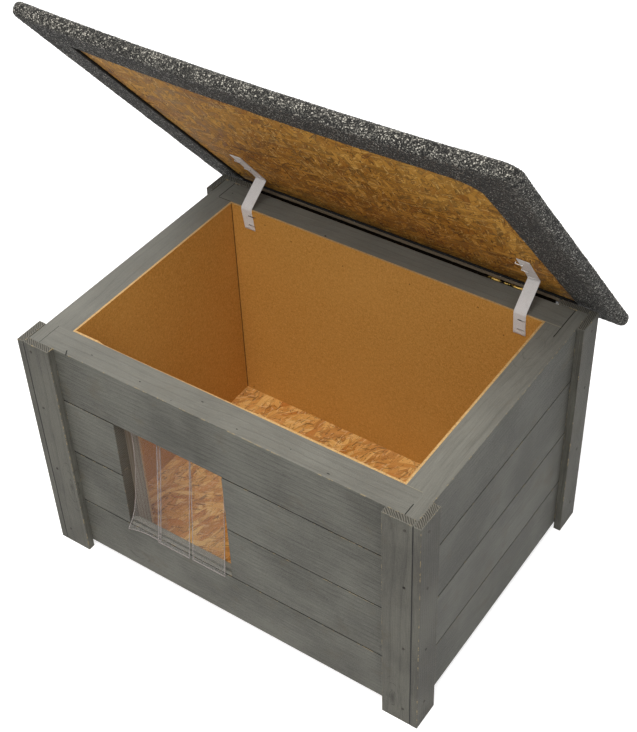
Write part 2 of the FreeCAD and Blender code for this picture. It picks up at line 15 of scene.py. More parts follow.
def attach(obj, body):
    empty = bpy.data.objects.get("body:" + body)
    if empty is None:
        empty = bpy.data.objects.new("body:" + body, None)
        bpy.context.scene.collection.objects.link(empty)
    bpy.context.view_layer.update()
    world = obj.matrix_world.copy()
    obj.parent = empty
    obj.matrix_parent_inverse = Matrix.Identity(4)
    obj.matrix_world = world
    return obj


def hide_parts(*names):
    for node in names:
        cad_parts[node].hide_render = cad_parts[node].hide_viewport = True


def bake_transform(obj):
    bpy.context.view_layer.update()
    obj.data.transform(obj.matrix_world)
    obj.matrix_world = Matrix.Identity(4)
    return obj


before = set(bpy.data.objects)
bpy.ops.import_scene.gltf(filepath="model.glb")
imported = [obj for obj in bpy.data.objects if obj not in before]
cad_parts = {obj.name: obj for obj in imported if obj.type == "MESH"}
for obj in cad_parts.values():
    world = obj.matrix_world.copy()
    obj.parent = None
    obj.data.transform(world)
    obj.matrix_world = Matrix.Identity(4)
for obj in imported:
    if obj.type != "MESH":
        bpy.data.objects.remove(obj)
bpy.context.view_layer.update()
LOG = logging.getLogger("dog_house")
logging.basicConfig(level=logging.INFO, format="%(name)s: %(message)s")

Vec2 = tuple[float, float]
Vec3 = tuple[float, float, float]
Screen = tuple[int, int, int]
MM = 0.001


def paint(red: int, green: int, blue: int) -> tuple[float, ...]:
    """A colour given in screen values from 0 to 255.

    Args:
        red: Red, as seen on a screen.
        green: Green, as seen on a screen.
        blue: Blue, as seen on a screen.

    Returns:
        The linear colour with an alpha of one.
    """
    parts = (red / 255, green / 255, blue / 255)
    return *(c / 12.92 if c <= 0.04045 else ((c + 0.055) / 1.055) ** 2.4 for c in parts), 1.0


def toned(base: Screen, *parts: float) -> tuple[float, ...]:
    """A screen colour with each channel scaled, as paint gives it."""
    return paint(*(min(255, int(level * part)) for level, part in zip(base, parts)))


class Run(Enum):
    """The direction in which a board's grain runs."""

    ACROSS = 0
    DEEP = 1
    UP = 2


# ---------------------------------------------------------------------------- sizes


@dataclass(frozen=True)
class HouseSizes:
    """Places and sizes of the walls, in metres, as the frame has them."""

    half_wide: float = 0.300
    half_deep: float = 0.215
    in_x: float = 0.282
    in_y: float = 0.197
    cav_x: float = 0.259
    cav_y: float = 0.174
    room_x: float = 0.256
    room_y: float = 0.171
    foot: float = 0.012
    floor_top: float = 0.022
    levels: tuple[float, ...] = (0.012, 0.1005, 0.1985, 0.2965, 0.389)
    rim: float = 0.389
    board_top: float = 0.390
    front_y: float = 0.226
    side_x: float = 0.311
    face_board_in: float = 0.257
    side_board_in: float = 0.182
    batten_low: float = 0.344
    door: Vec2 = (-0.170, 0.010)
    tongue: float = 0.006
    play: float = 0.0003
    bevel: float = 0.001


@dataclass(frozen=True)
class LidSizes:
    """The open lid's place about its pin: x across, v to the front, n up from the pin."""

    pin_y: float = 0.2225
    pin_z: float = 0.3843
    angle: float = math.radians(50)
    half_wide: float = 0.3375
    front: float = 0.535
    rear: float = 0.055
    flap_low: float = 0.0075
    osb_low: float = 0.011
    osb_high: float = 0.022
    top: float = 0.0255
    felt: float = 0.0035
    flap: float = 0.060
    rear_flap: float = 0.050
    bow: float = 0.0068

    def at(self, x: float, v: float, n: float) -> Vector:
        """A point of the lid, which is bowed: its front corners lift.

        Args:
            x: Place across the lid.
            v: Distance in front of the pin, along the lid.
            n: Height above the pin, square to the lid.

        Returns:
            The point in the house's frame.
        """
        lifted = n + self.bow * (x / self.half_wide) ** 2 * max(0.0, v / self.front)
        c, s = math.cos(self.angle), math.sin(self.angle)
        return Vector((x, self.pin_y - v * c + lifted * s, self.pin_z + v * s + lifted * c))


HOUSE = HouseSizes()
LID = LidSizes()


# ---------------------------------------------------------------------------- shader helpers


class Signal:
    """A node's output, whose arithmetic adds nodes to its tree."""

    def __init__(self, tree: "Tree", socket: bpy.types.NodeSocket) -> None:
        """Hold a socket and its tree."""
        self.tree, self.socket = tree, socket

    def __add__(self, other: "Value") -> "Signal":
        """The sum of two values."""
        return self.tree.math("ADD", self, other)

    def __sub__(self, other: "Value") -> "Signal":
        """This value less another."""
        return self.tree.math("SUBTRACT", self, other)

    def __rsub__(self, other: float) -> "Signal":
        """A number less this value."""
        return self.tree.math("SUBTRACT", other, self)

    def __mul__(self, other: "Value") -> "Signal":
        """The product of two values."""
        return self.tree.math("MULTIPLY", self, other)


Value = Union[Signal, bpy.types.NodeSocket, float, Sequence[float]]


class Tree:
    """A node tree with short ways to add nodes and join them."""

    def __init__(self, tree: bpy.types.NodeTree) -> None:
        """Take a tree to build in."""
        self.tree = tree

    @classmethod
    def material(cls, name: str) -> "Tree":
        """Start a material.

        Args:
            name: The material's name.

        Returns:
            Its tree, which also holds the material and its shader.
        """
        made = bpy.data.materials.new(name)
        made.use_nodes = True
        tree = cls(made.node_tree)
        tree.made, tree.shader = made, made.node_tree.nodes["Principled BSDF"]
        return tree

    def finish(self, colour: Value, rough: Value, height: Value | None = None, strength: float = 0.0,
               depth: float = 0.0, **settings: Value) -> bpy.types.Material:
        """Join a material's results to its shader.

        Args:
            colour: The base colour.
            rough: The roughness.
            height: The relief, from 0 to 1, if it has any.
            strength: How much of the relief shows.
            depth: The relief's depth in metres.
            **settings: Other inputs of the shader, with underscores for spaces.

        Returns:
            The material.
        """
        inputs = self.shader.inputs
        self.put(inputs["Base Color"], colour)
        self.put(inputs["Roughness"], rough)
        for name, value in settings.items():
            self.put(inputs[name.replace("_", " ")], value)
        if height is not None:
            bump = self.node("ShaderNodeBump", {"Strength": strength, "Distance": depth, "Height": height})
            self.put(inputs["Normal"], bump.outputs[0])
        return self.made

    def node(self, kind: str, inputs: dict[str | int, Value] | None = None,
             **settings: object) -> bpy.types.Node:
        """Add a node.

        Args:
            kind: The node's type name.
            inputs: Values of its inputs, by name or number.
            **settings: Properties of the node.

        Returns:
            The new node.
        """
        made = self.tree.nodes.new(kind)
        for name, value in settings.items():
            setattr(made, name, value)
        for key, value in (inputs or {}).items():
            self.put(made.inputs[key], value)
        return made

    def put(self, socket: bpy.types.NodeSocket, value: Value) -> None:
        """Join an input to an output, or set it to a constant.

        Args:
            socket: The input.
            value: The output or the constant.
        """
        value = value.socket if isinstance(value, Signal) else value
        if isinstance(value, bpy.types.NodeSocket):
            self.tree.links.new(value, socket)
        else:
            socket.default_value = value

    def outs(self, made: bpy.types.Node) -> dict[str, Signal]:
        """A node's outputs by name."""
        return {socket.name: Signal(self, socket) for socket in reversed(list(made.outputs))}

    def math(self, what: str, a: Value, b: Value = 0.0, clamp: bool = False) -> Signal:
        """One step of arithmetic.

        Args:
            what: The operation's name.
            a: First value.
            b: Second value.
            clamp: Whether the result stays between 0 and 1.

        Returns:
            The result.
        """
        return Signal(self, self.node("ShaderNodeMath", {0: a, 1: b}, operation=what, use_clamp=clamp).outputs[0])

    def vector(self, what: str, a: Value, b: Value = (0, 0, 0), scale: Value = 1.0) -> Signal:
        """One step of vector arithmetic.

        Args:
            what: The operation's name.
            a: First vector.
            b: Second vector.
            scale: Scale, where the operation has one.

        Returns:
            The result, a value for lengths and products.
        """
        made = self.node("ShaderNodeVectorMath", {0: a, 1: b}, operation=what)
        if what == "SCALE":
            self.put(made.inputs["Scale"], scale)
        return self.outs(made)["Value" if what in ("DOT_PRODUCT", "DISTANCE") else "Vector"]

    def noise(self, at: Value, scale: Value, detail: float = 3.0, rough: float = 0.5,
              twist: float = 0.0) -> Signal:
        """Cloudy noise.

        Args:
            at: Where to read it.
            scale: Cycles in a metre.
            detail: Number of finer layers.
            rough: Strength of the finer layers.
            twist: Distortion.

        Returns:
            Its value.
        """
        made = self.node("ShaderNodeTexNoise", {"Vector": at, "Scale": scale, "Detail": detail,
                                                "Roughness": rough, "Distortion": twist})
        return self.outs(made)["Fac"]

    def shake(self, at: Value, scale: Value, amount: Value) -> Signal:
        """Move coordinates by coloured noise.

        Args:
            at: The coordinates.
            scale: Cycles in a metre.
            amount: How far they move.

        Returns:
            The shift alone.
        """
        made = self.node("ShaderNodeTexNoise", {"Vector": at, "Scale": scale})
        return self.vector("SCALE", self.vector("SUBTRACT", made.outputs["Color"], (0.5, 0.5, 0.5)), scale=amount)

    def cells(self, at: Value, scale: Value, what: str = "F1") -> dict[str, Signal]:
        """Cells of random shape.

        Args:
            at: Where to read them.
            scale: Cells in a metre.
            what: The feature measured.

        Returns:
            Their outputs, of which Distance and Color are used.
        """
        return self.outs(self.node("ShaderNodeTexVoronoi", {"Vector": at, "Scale": scale}, feature=what))

    def stretch(self, at: Value, sizes: Vec3, turn: Vec3 = (0, 0, 0), move: Vec3 = (0, 0, 0)) -> Signal:
        """Move, turn and stretch a pattern's coordinates.

        Args:
            at: The coordinates.
            sizes: Factor along each axis.
            turn: Turn about each axis, in radians.
            move: Shift along each axis.

        Returns:
            The new coordinates.
        """
        made = self.node("ShaderNodeMapping", {"Vector": at, "Scale": sizes, "Rotation": turn, "Location": move})
        return Signal(self, made.outputs[0])

    def split(self, value: Value, kind: str = "XYZ") -> list[Signal]:
        """The three parts of a vector, or of a colour where the kind is Color."""
        return [Signal(self, socket) for socket in self.node("ShaderNodeSeparate" + kind, {0: value}).outputs]

    def join(self, x: Value, y: Value, z: Value = 0.0) -> Signal:
        """A vector from its three parts."""
        return Signal(self, self.node("ShaderNodeCombineXYZ", {0: x, 1: y, 2: z}).outputs[0])

    def ramp(self, value: Value, stops: Sequence[tuple[float, Sequence[float]]]) -> Signal:
        """Colours along a value.

        Args:
            value: The value, from 0 to 1.
            stops: Place and colour of each stop.

        Returns:
            The colour.
        """
        made = self.node("ShaderNodeValToRGB", {0: value})
        while len(made.color_ramp.elements) < len(stops):
            made.color_ramp.elements.new(0.5)
        for element, (place, colour) in zip(made.color_ramp.elements, stops):
            element.position, element.color = place, tuple(colour)
        return Signal(self, made.outputs[0])

    def spread(self, value: Value, low: float, high: float, to_low: float = 0.0, to_high: float = 1.0) -> Signal:
        """Map a range onto another, clamped and eased.

        Args:
            value: The value.
            low: Start of its range.
            high: End of its range.
            to_low: Result at the start.
            to_high: Result at the end.

        Returns:
            The result.
        """
        made = self.node("ShaderNodeMapRange", {"Value": value, "From Min": low, "From Max": high,
                                                "To Min": to_low, "To Max": to_high},
                         interpolation_type="SMOOTHSTEP")
        return Signal(self, made.outputs[0])

    def mix(self, share: Value, a: Value, b: Value) -> Signal:
        """Mix two colours; the share is the second colour's."""
        made = self.node("ShaderNodeMix", {"Factor": share, 6: a, 7: b}, data_type="RGBA")
        return Signal(self, made.outputs[2])

    def choose(self, share: Value, a: Value, b: Value) -> Signal:
        """Mix two values; the share is the second one's."""
        made = self.node("ShaderNodeMix", {0: share, 2: a, 3: b}, data_type="FLOAT")
        return Signal(self, made.outputs[0])

    def attribute(self, name: str, what: str = "Fac") -> Signal:
        """A value or, where Vector is asked for, a vector stored on the mesh."""
        return self.outs(self.node("ShaderNodeAttribute", attribute_name=name))[what]

    def place(self, what: str = "Object") -> Signal:
        """The Object coordinates, or the Normal in the object's own axes."""
        return self.outs(self.node("ShaderNodeTexCoord"))[what]

    def seen(self) -> Signal:
        """Whether a ray comes from the camera, a reflection or a clear material.

        Returns:
            One for those rays and nothing for the light's own.
        """
        path = self.outs(self.node("ShaderNodeLightPath"))
        rest = self.math("MAXIMUM", path["Is Glossy Ray"], path["Is Transmission Ray"])
        return self.math("MAXIMUM", path["Is Camera Ray"], rest)

    def group(self, inner: bpy.types.NodeTree, **values: Value) -> dict[str, Signal]:
        """Place a shared group.

        Args:
            inner: The group.
            **values: Its inputs, with underscores for spaces.

        Returns:
            The group's outputs by name.
        """
        made = self.node("ShaderNodeGroup", node_tree=inner)
        for name, value in values.items():
            self.put(made.inputs[name.replace("_", " ")], value)
        return self.outs(made)


def new_group(name: str, inputs: dict[str, float | None], outputs: Sequence[str]) -> tuple[Tree, dict[str, Signal]]:
    """Start a shader group.

    Args:
        name: The group's name.
        inputs: Each input's default; None makes it a vector.
        outputs: Names of its outputs, which are values.

    Returns:
        The tree and its inputs by name.
    """
    tree = bpy.data.node_groups.new(name, "ShaderNodeTree")
    for title, default in inputs.items():
        kind = "NodeSocketVector" if default is None else "NodeSocketFloat"
        made = tree.interface.new_socket(name=title, in_out="INPUT", socket_type=kind)
        if default is not None:
            made.default_value = default
    for title in outputs:
        tree.interface.new_socket(name=title, in_out="OUTPUT", socket_type="NodeSocketFloat")
    sheet = Tree(tree)
    return sheet, sheet.outs(sheet.node("NodeGroupInput"))


class Effects:
    """The shader groups that several finishes share, each built once."""

    STRAND_LAYERS = ((0.35, 0.0, -1.0), (1.35, 3.7, 0.35), (2.15, 8.1, 0.45), (1.75, 5.3, 0.62), (-0.4, 6.2, 0.78))

    def __init__(self) -> None:
        """Build every group."""
        self.grain = self._grain()
        self.mark = self._mark()
        self.strands = self._strands()
        self.granules = self._granules()
        self.patches = self._patches()

    @staticmethod
    def _grain() -> bpy.types.NodeTree:
        """Softwood grain along X: early and late wood, fibres and knots with flames round them.

        Returns:
            The group.
        """
        t, given = new_group("timber_grain", {"Vector": None, "Ring Width": 0.006},
                             ("Rings", "Fibres", "Knots", "Height", "Flames"))
        at = given["Vector"]
        knot = t.cells(t.vector("ADD", t.stretch(at, (0.85, 2.1, 2.1)), t.shake(at, 38.0, 0.011)), 6.5)
        far = knot["Distance"]
        few = t.math("GREATER_THAN", t.split(knot["Color"], "Color")[0], 0.50)
        knots = t.spread(far, 0.02, 0.10, 1.0, 0.0) * few
        line = t.spread(t.math("PINGPONG", far, 0.045), 0.0, 0.010, 1.0, 0.0)
        torn = t.spread(t.noise(at, 75.0, 3.0, 0.7), 0.42, 0.58)
        flames = line * t.spread(far, 0.16, 0.42, 1.0, 0.0) * (torn * few)
        push = t.noise(t.stretch(at, (1.6, 6.0, 6.0)), 1.0) * 0.030 + knots * 0.02
        bent = t.vector("ADD", at, t.join(0.0, push, push))
        _, y, z = t.split(bent)
        rings = t.math("FRACT", t.math("DIVIDE", y + z * 0.55, given["Ring Width"]))
        late = t.spread(t.math("POWER", rings, 2.2), 0.35, 0.95)
        fibres = t.noise(t.stretch(bent, (22.0, 900.0, 900.0)), 1.0, 3.0, 0.65)
        fine = t.noise(t.stretch(bent, (70.0, 2600.0, 2600.0)), 1.0, 2.0, 0.6)
        both = fibres * 0.65 + fine * 0.35
        t.node("NodeGroupOutput", {"Rings": late, "Fibres": both, "Knots": knots, "Flames": flames,
                                   "Height": late * 0.4 + both * 0.9})
        return t.tree

    @staticmethod
    def _mark() -> bpy.types.NodeTree:
        """A crack, scratch or pin hole between two points.

        Returns:
            The group.
        """
        t, given = new_group("mark", {"Vector": None, "Start": None, "End": None, "Width": 0.001, "Wobble": 0.0},
                             ("Mask",))
        wave = (t.noise(given["Vector"], 130.0) - 0.5) * given["Wobble"]
        at = t.vector("ADD", given["Vector"], t.join(wave, wave, wave))
        way = t.vector("SUBTRACT", given["End"], given["Start"])
        off = t.vector("SUBTRACT", at, given["Start"])
        long = t.math("MAXIMUM", t.vector("DOT_PRODUCT", way, way), 1e-9)
        along = t.math("DIVIDE", t.vector("DOT_PRODUCT", off, way), long, clamp=True)
        gap = t.vector("DISTANCE", off, t.vector("SCALE", way, scale=along))
        edge = t.math("DIVIDE", gap, given["Width"])
        t.node("NodeGroupOutput", {"Mask": t.spread(edge, 0.45, 1.0, 1.0, 0.0)})
        return t.tree

    @classmethod
    def _strands(cls) -> bpy.types.NodeTree:
        """Pressed wood strands in crossed layers, each of which hides part of those below.

        Returns:
            The group.
        """
        names = ("Tone", "Hue", "Gap", "Fibre", "Height")
        t, given = new_group("strands", {"Vector": None, "Long": 14.0, "Slim": 70.0, "Bend": 0.02}, names)
        at = t.vector("ADD", given["Vector"], t.shake(given["Vector"], 9.0, given["Bend"]))
        sizes = t.join(given["Long"], given["Slim"])
        kept: list[Signal] = []
        for turn, shift, show in cls.STRAND_LAYERS:
            turned = t.stretch(at, (1, 1, 0), (0, 0, turn), (shift, shift * 0.7, 0))
            grid = t.vector("MULTIPLY", turned, sizes)
            tone, hue, cover = t.split(t.cells(grid, 1.0)["Color"], "Color")
            gap = t.spread(t.cells(grid, 1.0, "DISTANCE_TO_EDGE")["Distance"], 0.0, 0.07, 1.0, 0.0)
            hair = t.noise(t.vector("MULTIPLY", grid, (1.2, 14.0, 1.0)), 1.0, 3.0, 0.6)
            layer = [tone, hue, gap, hair, tone * 0.6 + hair * 0.4 - gap * 0.8]
            if kept:
                top = t.math("GREATER_THAN", cover, show)
                layer = [t.choose(top, old, fresh) for old, fresh in zip(kept, layer)]
            kept = layer
        t.node("NodeGroupOutput", dict(zip(names, kept)))
        return t.tree

    @staticmethod
    def _granules() -> bpy.types.NodeTree:
        """Mineral granules pressed into bitumen.

        Returns:
            The group.
        """
        t, given = new_group("granules", {"Vector": None, "Count": 640.0}, ("Shade", "Glint", "Height"))
        at, count = given["Vector"], given["Count"]
        cell = t.cells(at, count)
        shade, deep, glint = t.split(cell["Color"], "Color")
        relief, tone, _ = t.split(t.cells(at, count * 1.9)["Color"], "Color")
        t.node("NodeGroupOutput", {"Shade": shade * 0.6 + tone * 0.4, "Glint": t.math("GREATER_THAN", glint, 0.93),
                                   "Height": (1.0 - cell["Distance"]) * (deep + 0.35) + relief * 0.25})
        return t.tree

    @staticmethod
    def _patches() -> bpy.types.NodeTree:
        """Uneven tone in large soft patches, with small specks.

        Returns:
            The group.
        """
        t, given = new_group("patches", {"Vector": None, "Size": 6.0}, ("Soft", "Specks"))
        at = given["Vector"]
        t.node("NodeGroupOutput", {"Soft": t.noise(at, given["Size"], 4.0, 0.55),
                                   "Specks": t.noise(at, 900.0, 2.0, 0.7)})
        return t.tree


EFFECTS = Effects()


# ---------------------------------------------------------------------------- finishes


@dataclass(frozen=True)
class Scratch:
    """A mark on a surface, in millimetres: a crack, an open joint, a fold or a pin hole."""

    start: Vec3
    end: Vec3
    width: float
    wobble: float = 0.0
    pale: bool = False

    def over(self, t: Tree, here: Value, colour: Value, dark: Screen, light: Screen = (0, 0, 0),
             share: float = 1.0) -> Signal:
        """Draw the mark over a colour.

        Args:
            t: The material's tree.
            here: Its Object coordinates.
            colour: The colour below.
            dark: Tone of a dark mark.
            light: Tone of a pale mark.
            share: How strongly it covers.

        Returns:
            The new colour.
        """
        spot = t.group(EFFECTS.mark, Vector=here, Start=tuple(c * MM for c in self.start),
                       End=tuple(c * MM for c in self.end), Width=self.width * MM, Wobble=self.wobble * MM)
        return t.mix(spot["Mask"] * share, colour, paint(*(light if self.pale else dark)))


@dataclass(frozen=True)
class StainedTimber:
    """Softwood under a thin opaque grey stain, worn pale along its edges."""

    name: str
    base: Screen = (84, 84, 79)
    marks: tuple[Scratch, ...] = ()
    ends: float = 0.3

    def build(self) -> bpy.types.Material:
        """Make the material.

        Returns:
            The material.
        """
        t = Tree.material(self.name)
        at, here, end = t.attribute("grain", "Vector"), t.place(), t.attribute("end")
        grain = t.group(EFFECTS.grain, Vector=at, Ring_Width=0.0075)
        patch = t.group(EFFECTS.patches, Vector=at, Size=9.0)
        fibre = t.spread(grain["Fibres"], 0.38, 0.62)
        tone = fibre * 0.52 + 0.06 - grain["Rings"] * 0.20
        tone = tone + t.spread(patch["Soft"], 0.3, 0.7) * 0.42 + t.spread(patch["Specks"], 0.3, 0.7) * 0.34
        tone = t.math("ADD", tone - 0.17, t.attribute("tint") * 0.5, clamp=True)
        colour = t.mix(tone, toned(self.base, 0.62, 0.61, 0.59), toned(self.base, 1.32, 1.32, 1.31))
        brown = t.spread(t.noise(at, 23.0, 4.0, 0.7), 0.55, 0.72)
        colour = t.mix(brown * 0.35, colour, toned(self.base, 0.96, 0.86, 0.72))
        streak = t.spread(t.noise(t.stretch(at, (5.0, 260.0, 260.0)), 1.0, 3.0, 0.7), 0.60, 0.74)
        colour = t.mix(streak * 0.42, colour, toned(self.base, 0.62, 0.60, 0.56))
        dark = toned(self.base, 0.50, 0.47, 0.42)
        colour = t.mix(grain["Flames"] * 0.8, colour, dark)
        colour = t.mix(grain["Knots"] * 0.8, colour, dark)
        # End grain: growth rings cut across.
        ring = t.math("FRACT", t.math("DIVIDE", t.split(at)[1] + t.noise(at, 60.0, 2.0) * 0.006, 0.0037))
        ring = t.spread(t.math("ABSOLUTE", ring - 0.5), 0.12, 0.30)
        colour = t.mix(end * self.ends, colour, t.mix(ring, paint(54, 52, 48), paint(112, 110, 102)))
        # Faces that look up are painted paler, a painted top light, but not the sawn ends.
        painted_top_light = t.spread(t.split(t.place("Normal"))[2], 0.6, 0.95) * (1.0 - end)
        colour = t.mix(painted_top_light * 0.40, colour, paint(134, 134, 128))
        # Raw wood shows in chips along the arrises.
        chips = t.spread(t.noise(here, 90.0, 5.0, 0.8), 0.52, 0.60)
        colour = t.mix(t.attribute("wear") * chips * 0.75, colour, paint(156, 138, 100))
        # Painted shade: the bevels at the joints between boards are painted near black, unevenly, for the shade in
        # the grooves.
        broken = t.spread(t.noise(here, 60.0, 3.0, 0.6), 0.25, 0.42, 0.7, 1.0)
        colour = t.mix(t.attribute("joint_shade") * broken, colour, paint(12, 11, 9))
        for mark in self.marks:
            colour = mark.over(t, here, colour, (18, 17, 15), (136, 132, 116))
        height = grain["Height"] + end * ring * 2.2 - grain["Knots"] * 0.8 + patch["Specks"] * 0.7
        return t.finish(colour, fibre * 0.22 + 0.58, height, 0.75, 0.0007, Specular_IOR_Level=0.35)


@dataclass(frozen=True)
class Hardboard:
    """Smooth brown fibre board; the cut edge is paler and furry."""

    name: str
    cut: bool = False
    marks: tuple[Scratch, ...] = ()

    def build(self) -> bpy.types.Material:
        """Make the material.

        Returns:
            The material.
        """
        t = Tree.material(self.name)
        here = t.place()
        flecks = t.noise(t.stretch(here, (1.0, 1.0, 0.6)), 520.0, 3.0, 0.75)
        tone = flecks * 0.6 + t.noise(here, 1700.0, 2.0, 0.6) * 0.4
        rough = tone * 0.3 + 0.5
        if self.cut:
            colour = t.mix(t.spread(tone, 0.35, 0.65), paint(164, 126, 76), paint(206, 174, 122))
            return t.finish(colour, rough, tone, 0.35, 0.0006, Specular_IOR_Level=0.3)
        patch = t.group(EFFECTS.patches, Vector=here, Size=9.0)
        colour = t.mix(t.spread(tone, 0.36, 0.66), paint(166, 117, 50), paint(205, 154, 78))
        colour = t.mix(t.spread(patch["Soft"], 0.35, 0.7) * 0.35, colour, paint(196, 146, 74))
        dots = t.cells(here, 26.0)
        few = t.math("GREATER_THAN", t.split(dots["Color"], "Color")[0], 0.80)
        dot = t.spread(dots["Distance"], 0.012, 0.030, 1.0, 0.0) * few
        colour = t.mix(dot * 0.75, colour, paint(64, 40, 20))
        mottle = t.noise(here, 210.0, 4.0, 0.8)
        colour = t.mix(t.spread(mottle, 0.52, 0.68) * 0.38, colour, paint(140, 92, 34))
        colour = t.mix(t.spread(mottle, 0.48, 0.32) * 0.30, colour, paint(222, 174, 104))
        for mark in self.marks:
            colour = mark.over(t, here, colour, (48, 30, 14), share=0.8)
        return t.finish(colour, rough, tone, 0.35, 0.00025, Specular_IOR_Level=0.3)


@dataclass(frozen=True)
class StrandBoard:
    """Board of pressed wood strands, with small pale and dark chips between them."""

    name: str
    long: float
    slim: float
    tones: tuple[Screen, ...]
    warm: Screen
    gaps: float
    flecks: float
    bend: float
    specks: float
    relief: float = 0.0005
    pale: Screen = (236, 208, 160)

    def build(self) -> bpy.types.Material:
        """Make the material.

        Returns:
            The material.
        """
        t = Tree.material(self.name)
        at = t.attribute("sheet", "Vector")
        grain = t.group(EFFECTS.strands, Vector=at, Long=self.long, Slim=self.slim, Bend=self.bend)
        stops = [(i / (len(self.tones) - 1), paint(*tone)) for i, tone in enumerate(self.tones)]
        colour = t.ramp(grain["Tone"] * 0.62 + t.spread(grain["Fibre"], 0.30, 0.70) * 0.38, stops)
        colour = t.mix(t.spread(grain["Hue"], 0.60, 0.92) * 0.55, colour, paint(*self.warm))
        colour = t.mix(t.spread(grain["Fibre"], 0.63, 0.78) * 0.40, colour, paint(112, 70, 32))
        small = t.group(EFFECTS.strands, Vector=at, Long=self.long * 2.6, Slim=self.slim * 4.4, Bend=0.002)
        chip = t.math("GREATER_THAN", small["Tone"], 0.91)
        colour = t.mix(chip * self.flecks, colour, paint(*self.pale))
        speck = t.math("LESS_THAN", small["Tone"], 0.10)
        colour = t.mix(speck * self.specks, colour, paint(70, 42, 18))
        colour = t.mix(grain["Gap"] * self.gaps, colour, paint(84, 52, 24))
        cloud = t.spread(t.noise(at, 7.0, 3.0, 0.6), 0.35, 0.7)
        colour = t.mix(cloud * 0.22, colour, paint(*self.tones[-1]))
        return t.finish(colour, grain["Tone"] * 0.2 + 0.62, grain["Height"] + chip * 0.4, 0.6, self.relief,
                        Specular_IOR_Level=0.14)


@dataclass(frozen=True)
class RoofingFelt:
    """Bitumen felt with charcoal granules, with painted shade on the flaps folded under the lid, and dark at its cut
    edge.
    """

    name: str
    marks: tuple[Scratch, ...] = ()

    def build(self) -> bpy.types.Material:
        """Make the material.

        Returns:
            The material.
        """
        t = Tree.material(self.name)
        here, fold, cut = t.place(), t.attribute("zone"), t.attribute("end")
        grit = t.group(EFFECTS.granules, Vector=here, Count=760.0)
        patch = t.group(EFFECTS.patches, Vector=here, Size=26.0)
        colour = t.ramp(grit["Shade"] + (patch["Soft"] - 0.5) * 0.30,
                        [(0.0, paint(4, 4, 4)), (0.35, paint(18, 18, 17)), (0.60, paint(46, 45, 43)),
                         (0.80, paint(104, 103, 98)), (1.0, paint(176, 173, 164))])
        colour = t.mix(grit["Glint"] * 0.8, colour, paint(186, 183, 174))
        # Painted shade: the flaps folded under the lid are darkened, for the shade that falls on the underside.
        flap = t.spread(fold, 0.26, 0.29) * t.spread(fold, 0.42, 0.50, 1.0, 0.0)
        colour = t.mix(flap * 0.70, colour, paint(8, 8, 8))
        # The marks include the front right fold's painted highlight and painted shade.
        for mark in self.marks:
            colour = mark.over(t, here, colour, (5, 5, 5), (122, 118, 112))
        colour = t.mix(cut, colour, paint(10, 10, 10))
        rough = 0.88 - grit["Glint"] * 0.5
        return t.finish(colour, rough, grit["Height"] * (1.0 - cut), 0.8, 0.0008, Specular_IOR_Level=0.3)


@dataclass(frozen=True)
class GritGrain:
    """Loose granules that stand up from the felt."""

    name: str

    def build(self) -> bpy.types.Material:
        """Make the material.

        Returns:
            The material.
        """
        t = Tree.material(self.name)
        shade = t.split(t.cells(t.place(), 300.0)["Color"], "Color")[0]
        colour = t.ramp(shade, [(0.0, paint(10, 10, 10)), (0.50, paint(38, 38, 36)), (0.78, paint(84, 83, 79)),
                                (0.92, paint(128, 126, 120)), (1.0, paint(186, 183, 174))])
        return t.finish(colour, 0.8 - shade * 0.35)


@dataclass(frozen=True)
class Webbing:
    """White woven polypropylene tape."""

    name: str
    warp: float = 0.0011
    weft: float = 0.0016

    def build(self) -> bpy.types.Material:
        """Make the material.

        Returns:
            The material.
        """
        t = Tree.material(self.name)
        at = t.attribute("tape", "Vector")
        x, y, _ = t.split(at)
        weave = t.spread(t.math("SINE", x * (math.tau / self.warp)) * t.math("SINE", y * (math.tau / self.weft)),
                         -0.8, 0.8)
        colour = t.mix(weave, paint(196, 195, 196), paint(232, 231, 231))
        soil = t.spread(t.noise(at, 60.0, 3.0, 0.6), 0.5, 0.75)
        colour = t.mix(soil * 0.35, colour, paint(170, 168, 168))
        crease = t.noise(t.stretch(at, (35.0, 190.0, 1.0)), 1.0, 3.0, 0.6, 0.6)
        return t.finish(colour, 0.55, weave * 0.25 + crease * 1.6, 0.6, 0.0012, Sheen_Weight=0.25)


@dataclass(frozen=True)
class ClearVinyl:
    """Clear soft plastic with a light haze; its cut edges catch the light."""

    name: str
    haze: float = 0.10

    def build(self) -> bpy.types.Material:
        """Make the material.

        Returns:
            The material.
        """
        t = Tree.material(self.name)
        here, edge = t.place(), t.attribute("end")
        cloud = t.noise(t.stretch(here, (1.0, 1.0, 0.25)), 38.0, 3.0, 0.6)
        lines = t.noise(t.stretch(here, (420.0, 420.0, 5.0)), 1.0, 2.0, 0.5)
        body = (cloud - 0.5) * 0.08 + self.haze + t.spread(lines, 0.66, 0.8) * 0.06
        alpha = t.math("MAXIMUM", body, edge * 0.8, clamp=True)
        colour = t.mix(edge, paint(146, 142, 138), paint(176, 166, 164))
        return t.finish(colour, cloud * 0.12 + 0.14, cloud, 0.15, 0.0008, Alpha=alpha, IOR=1.53)


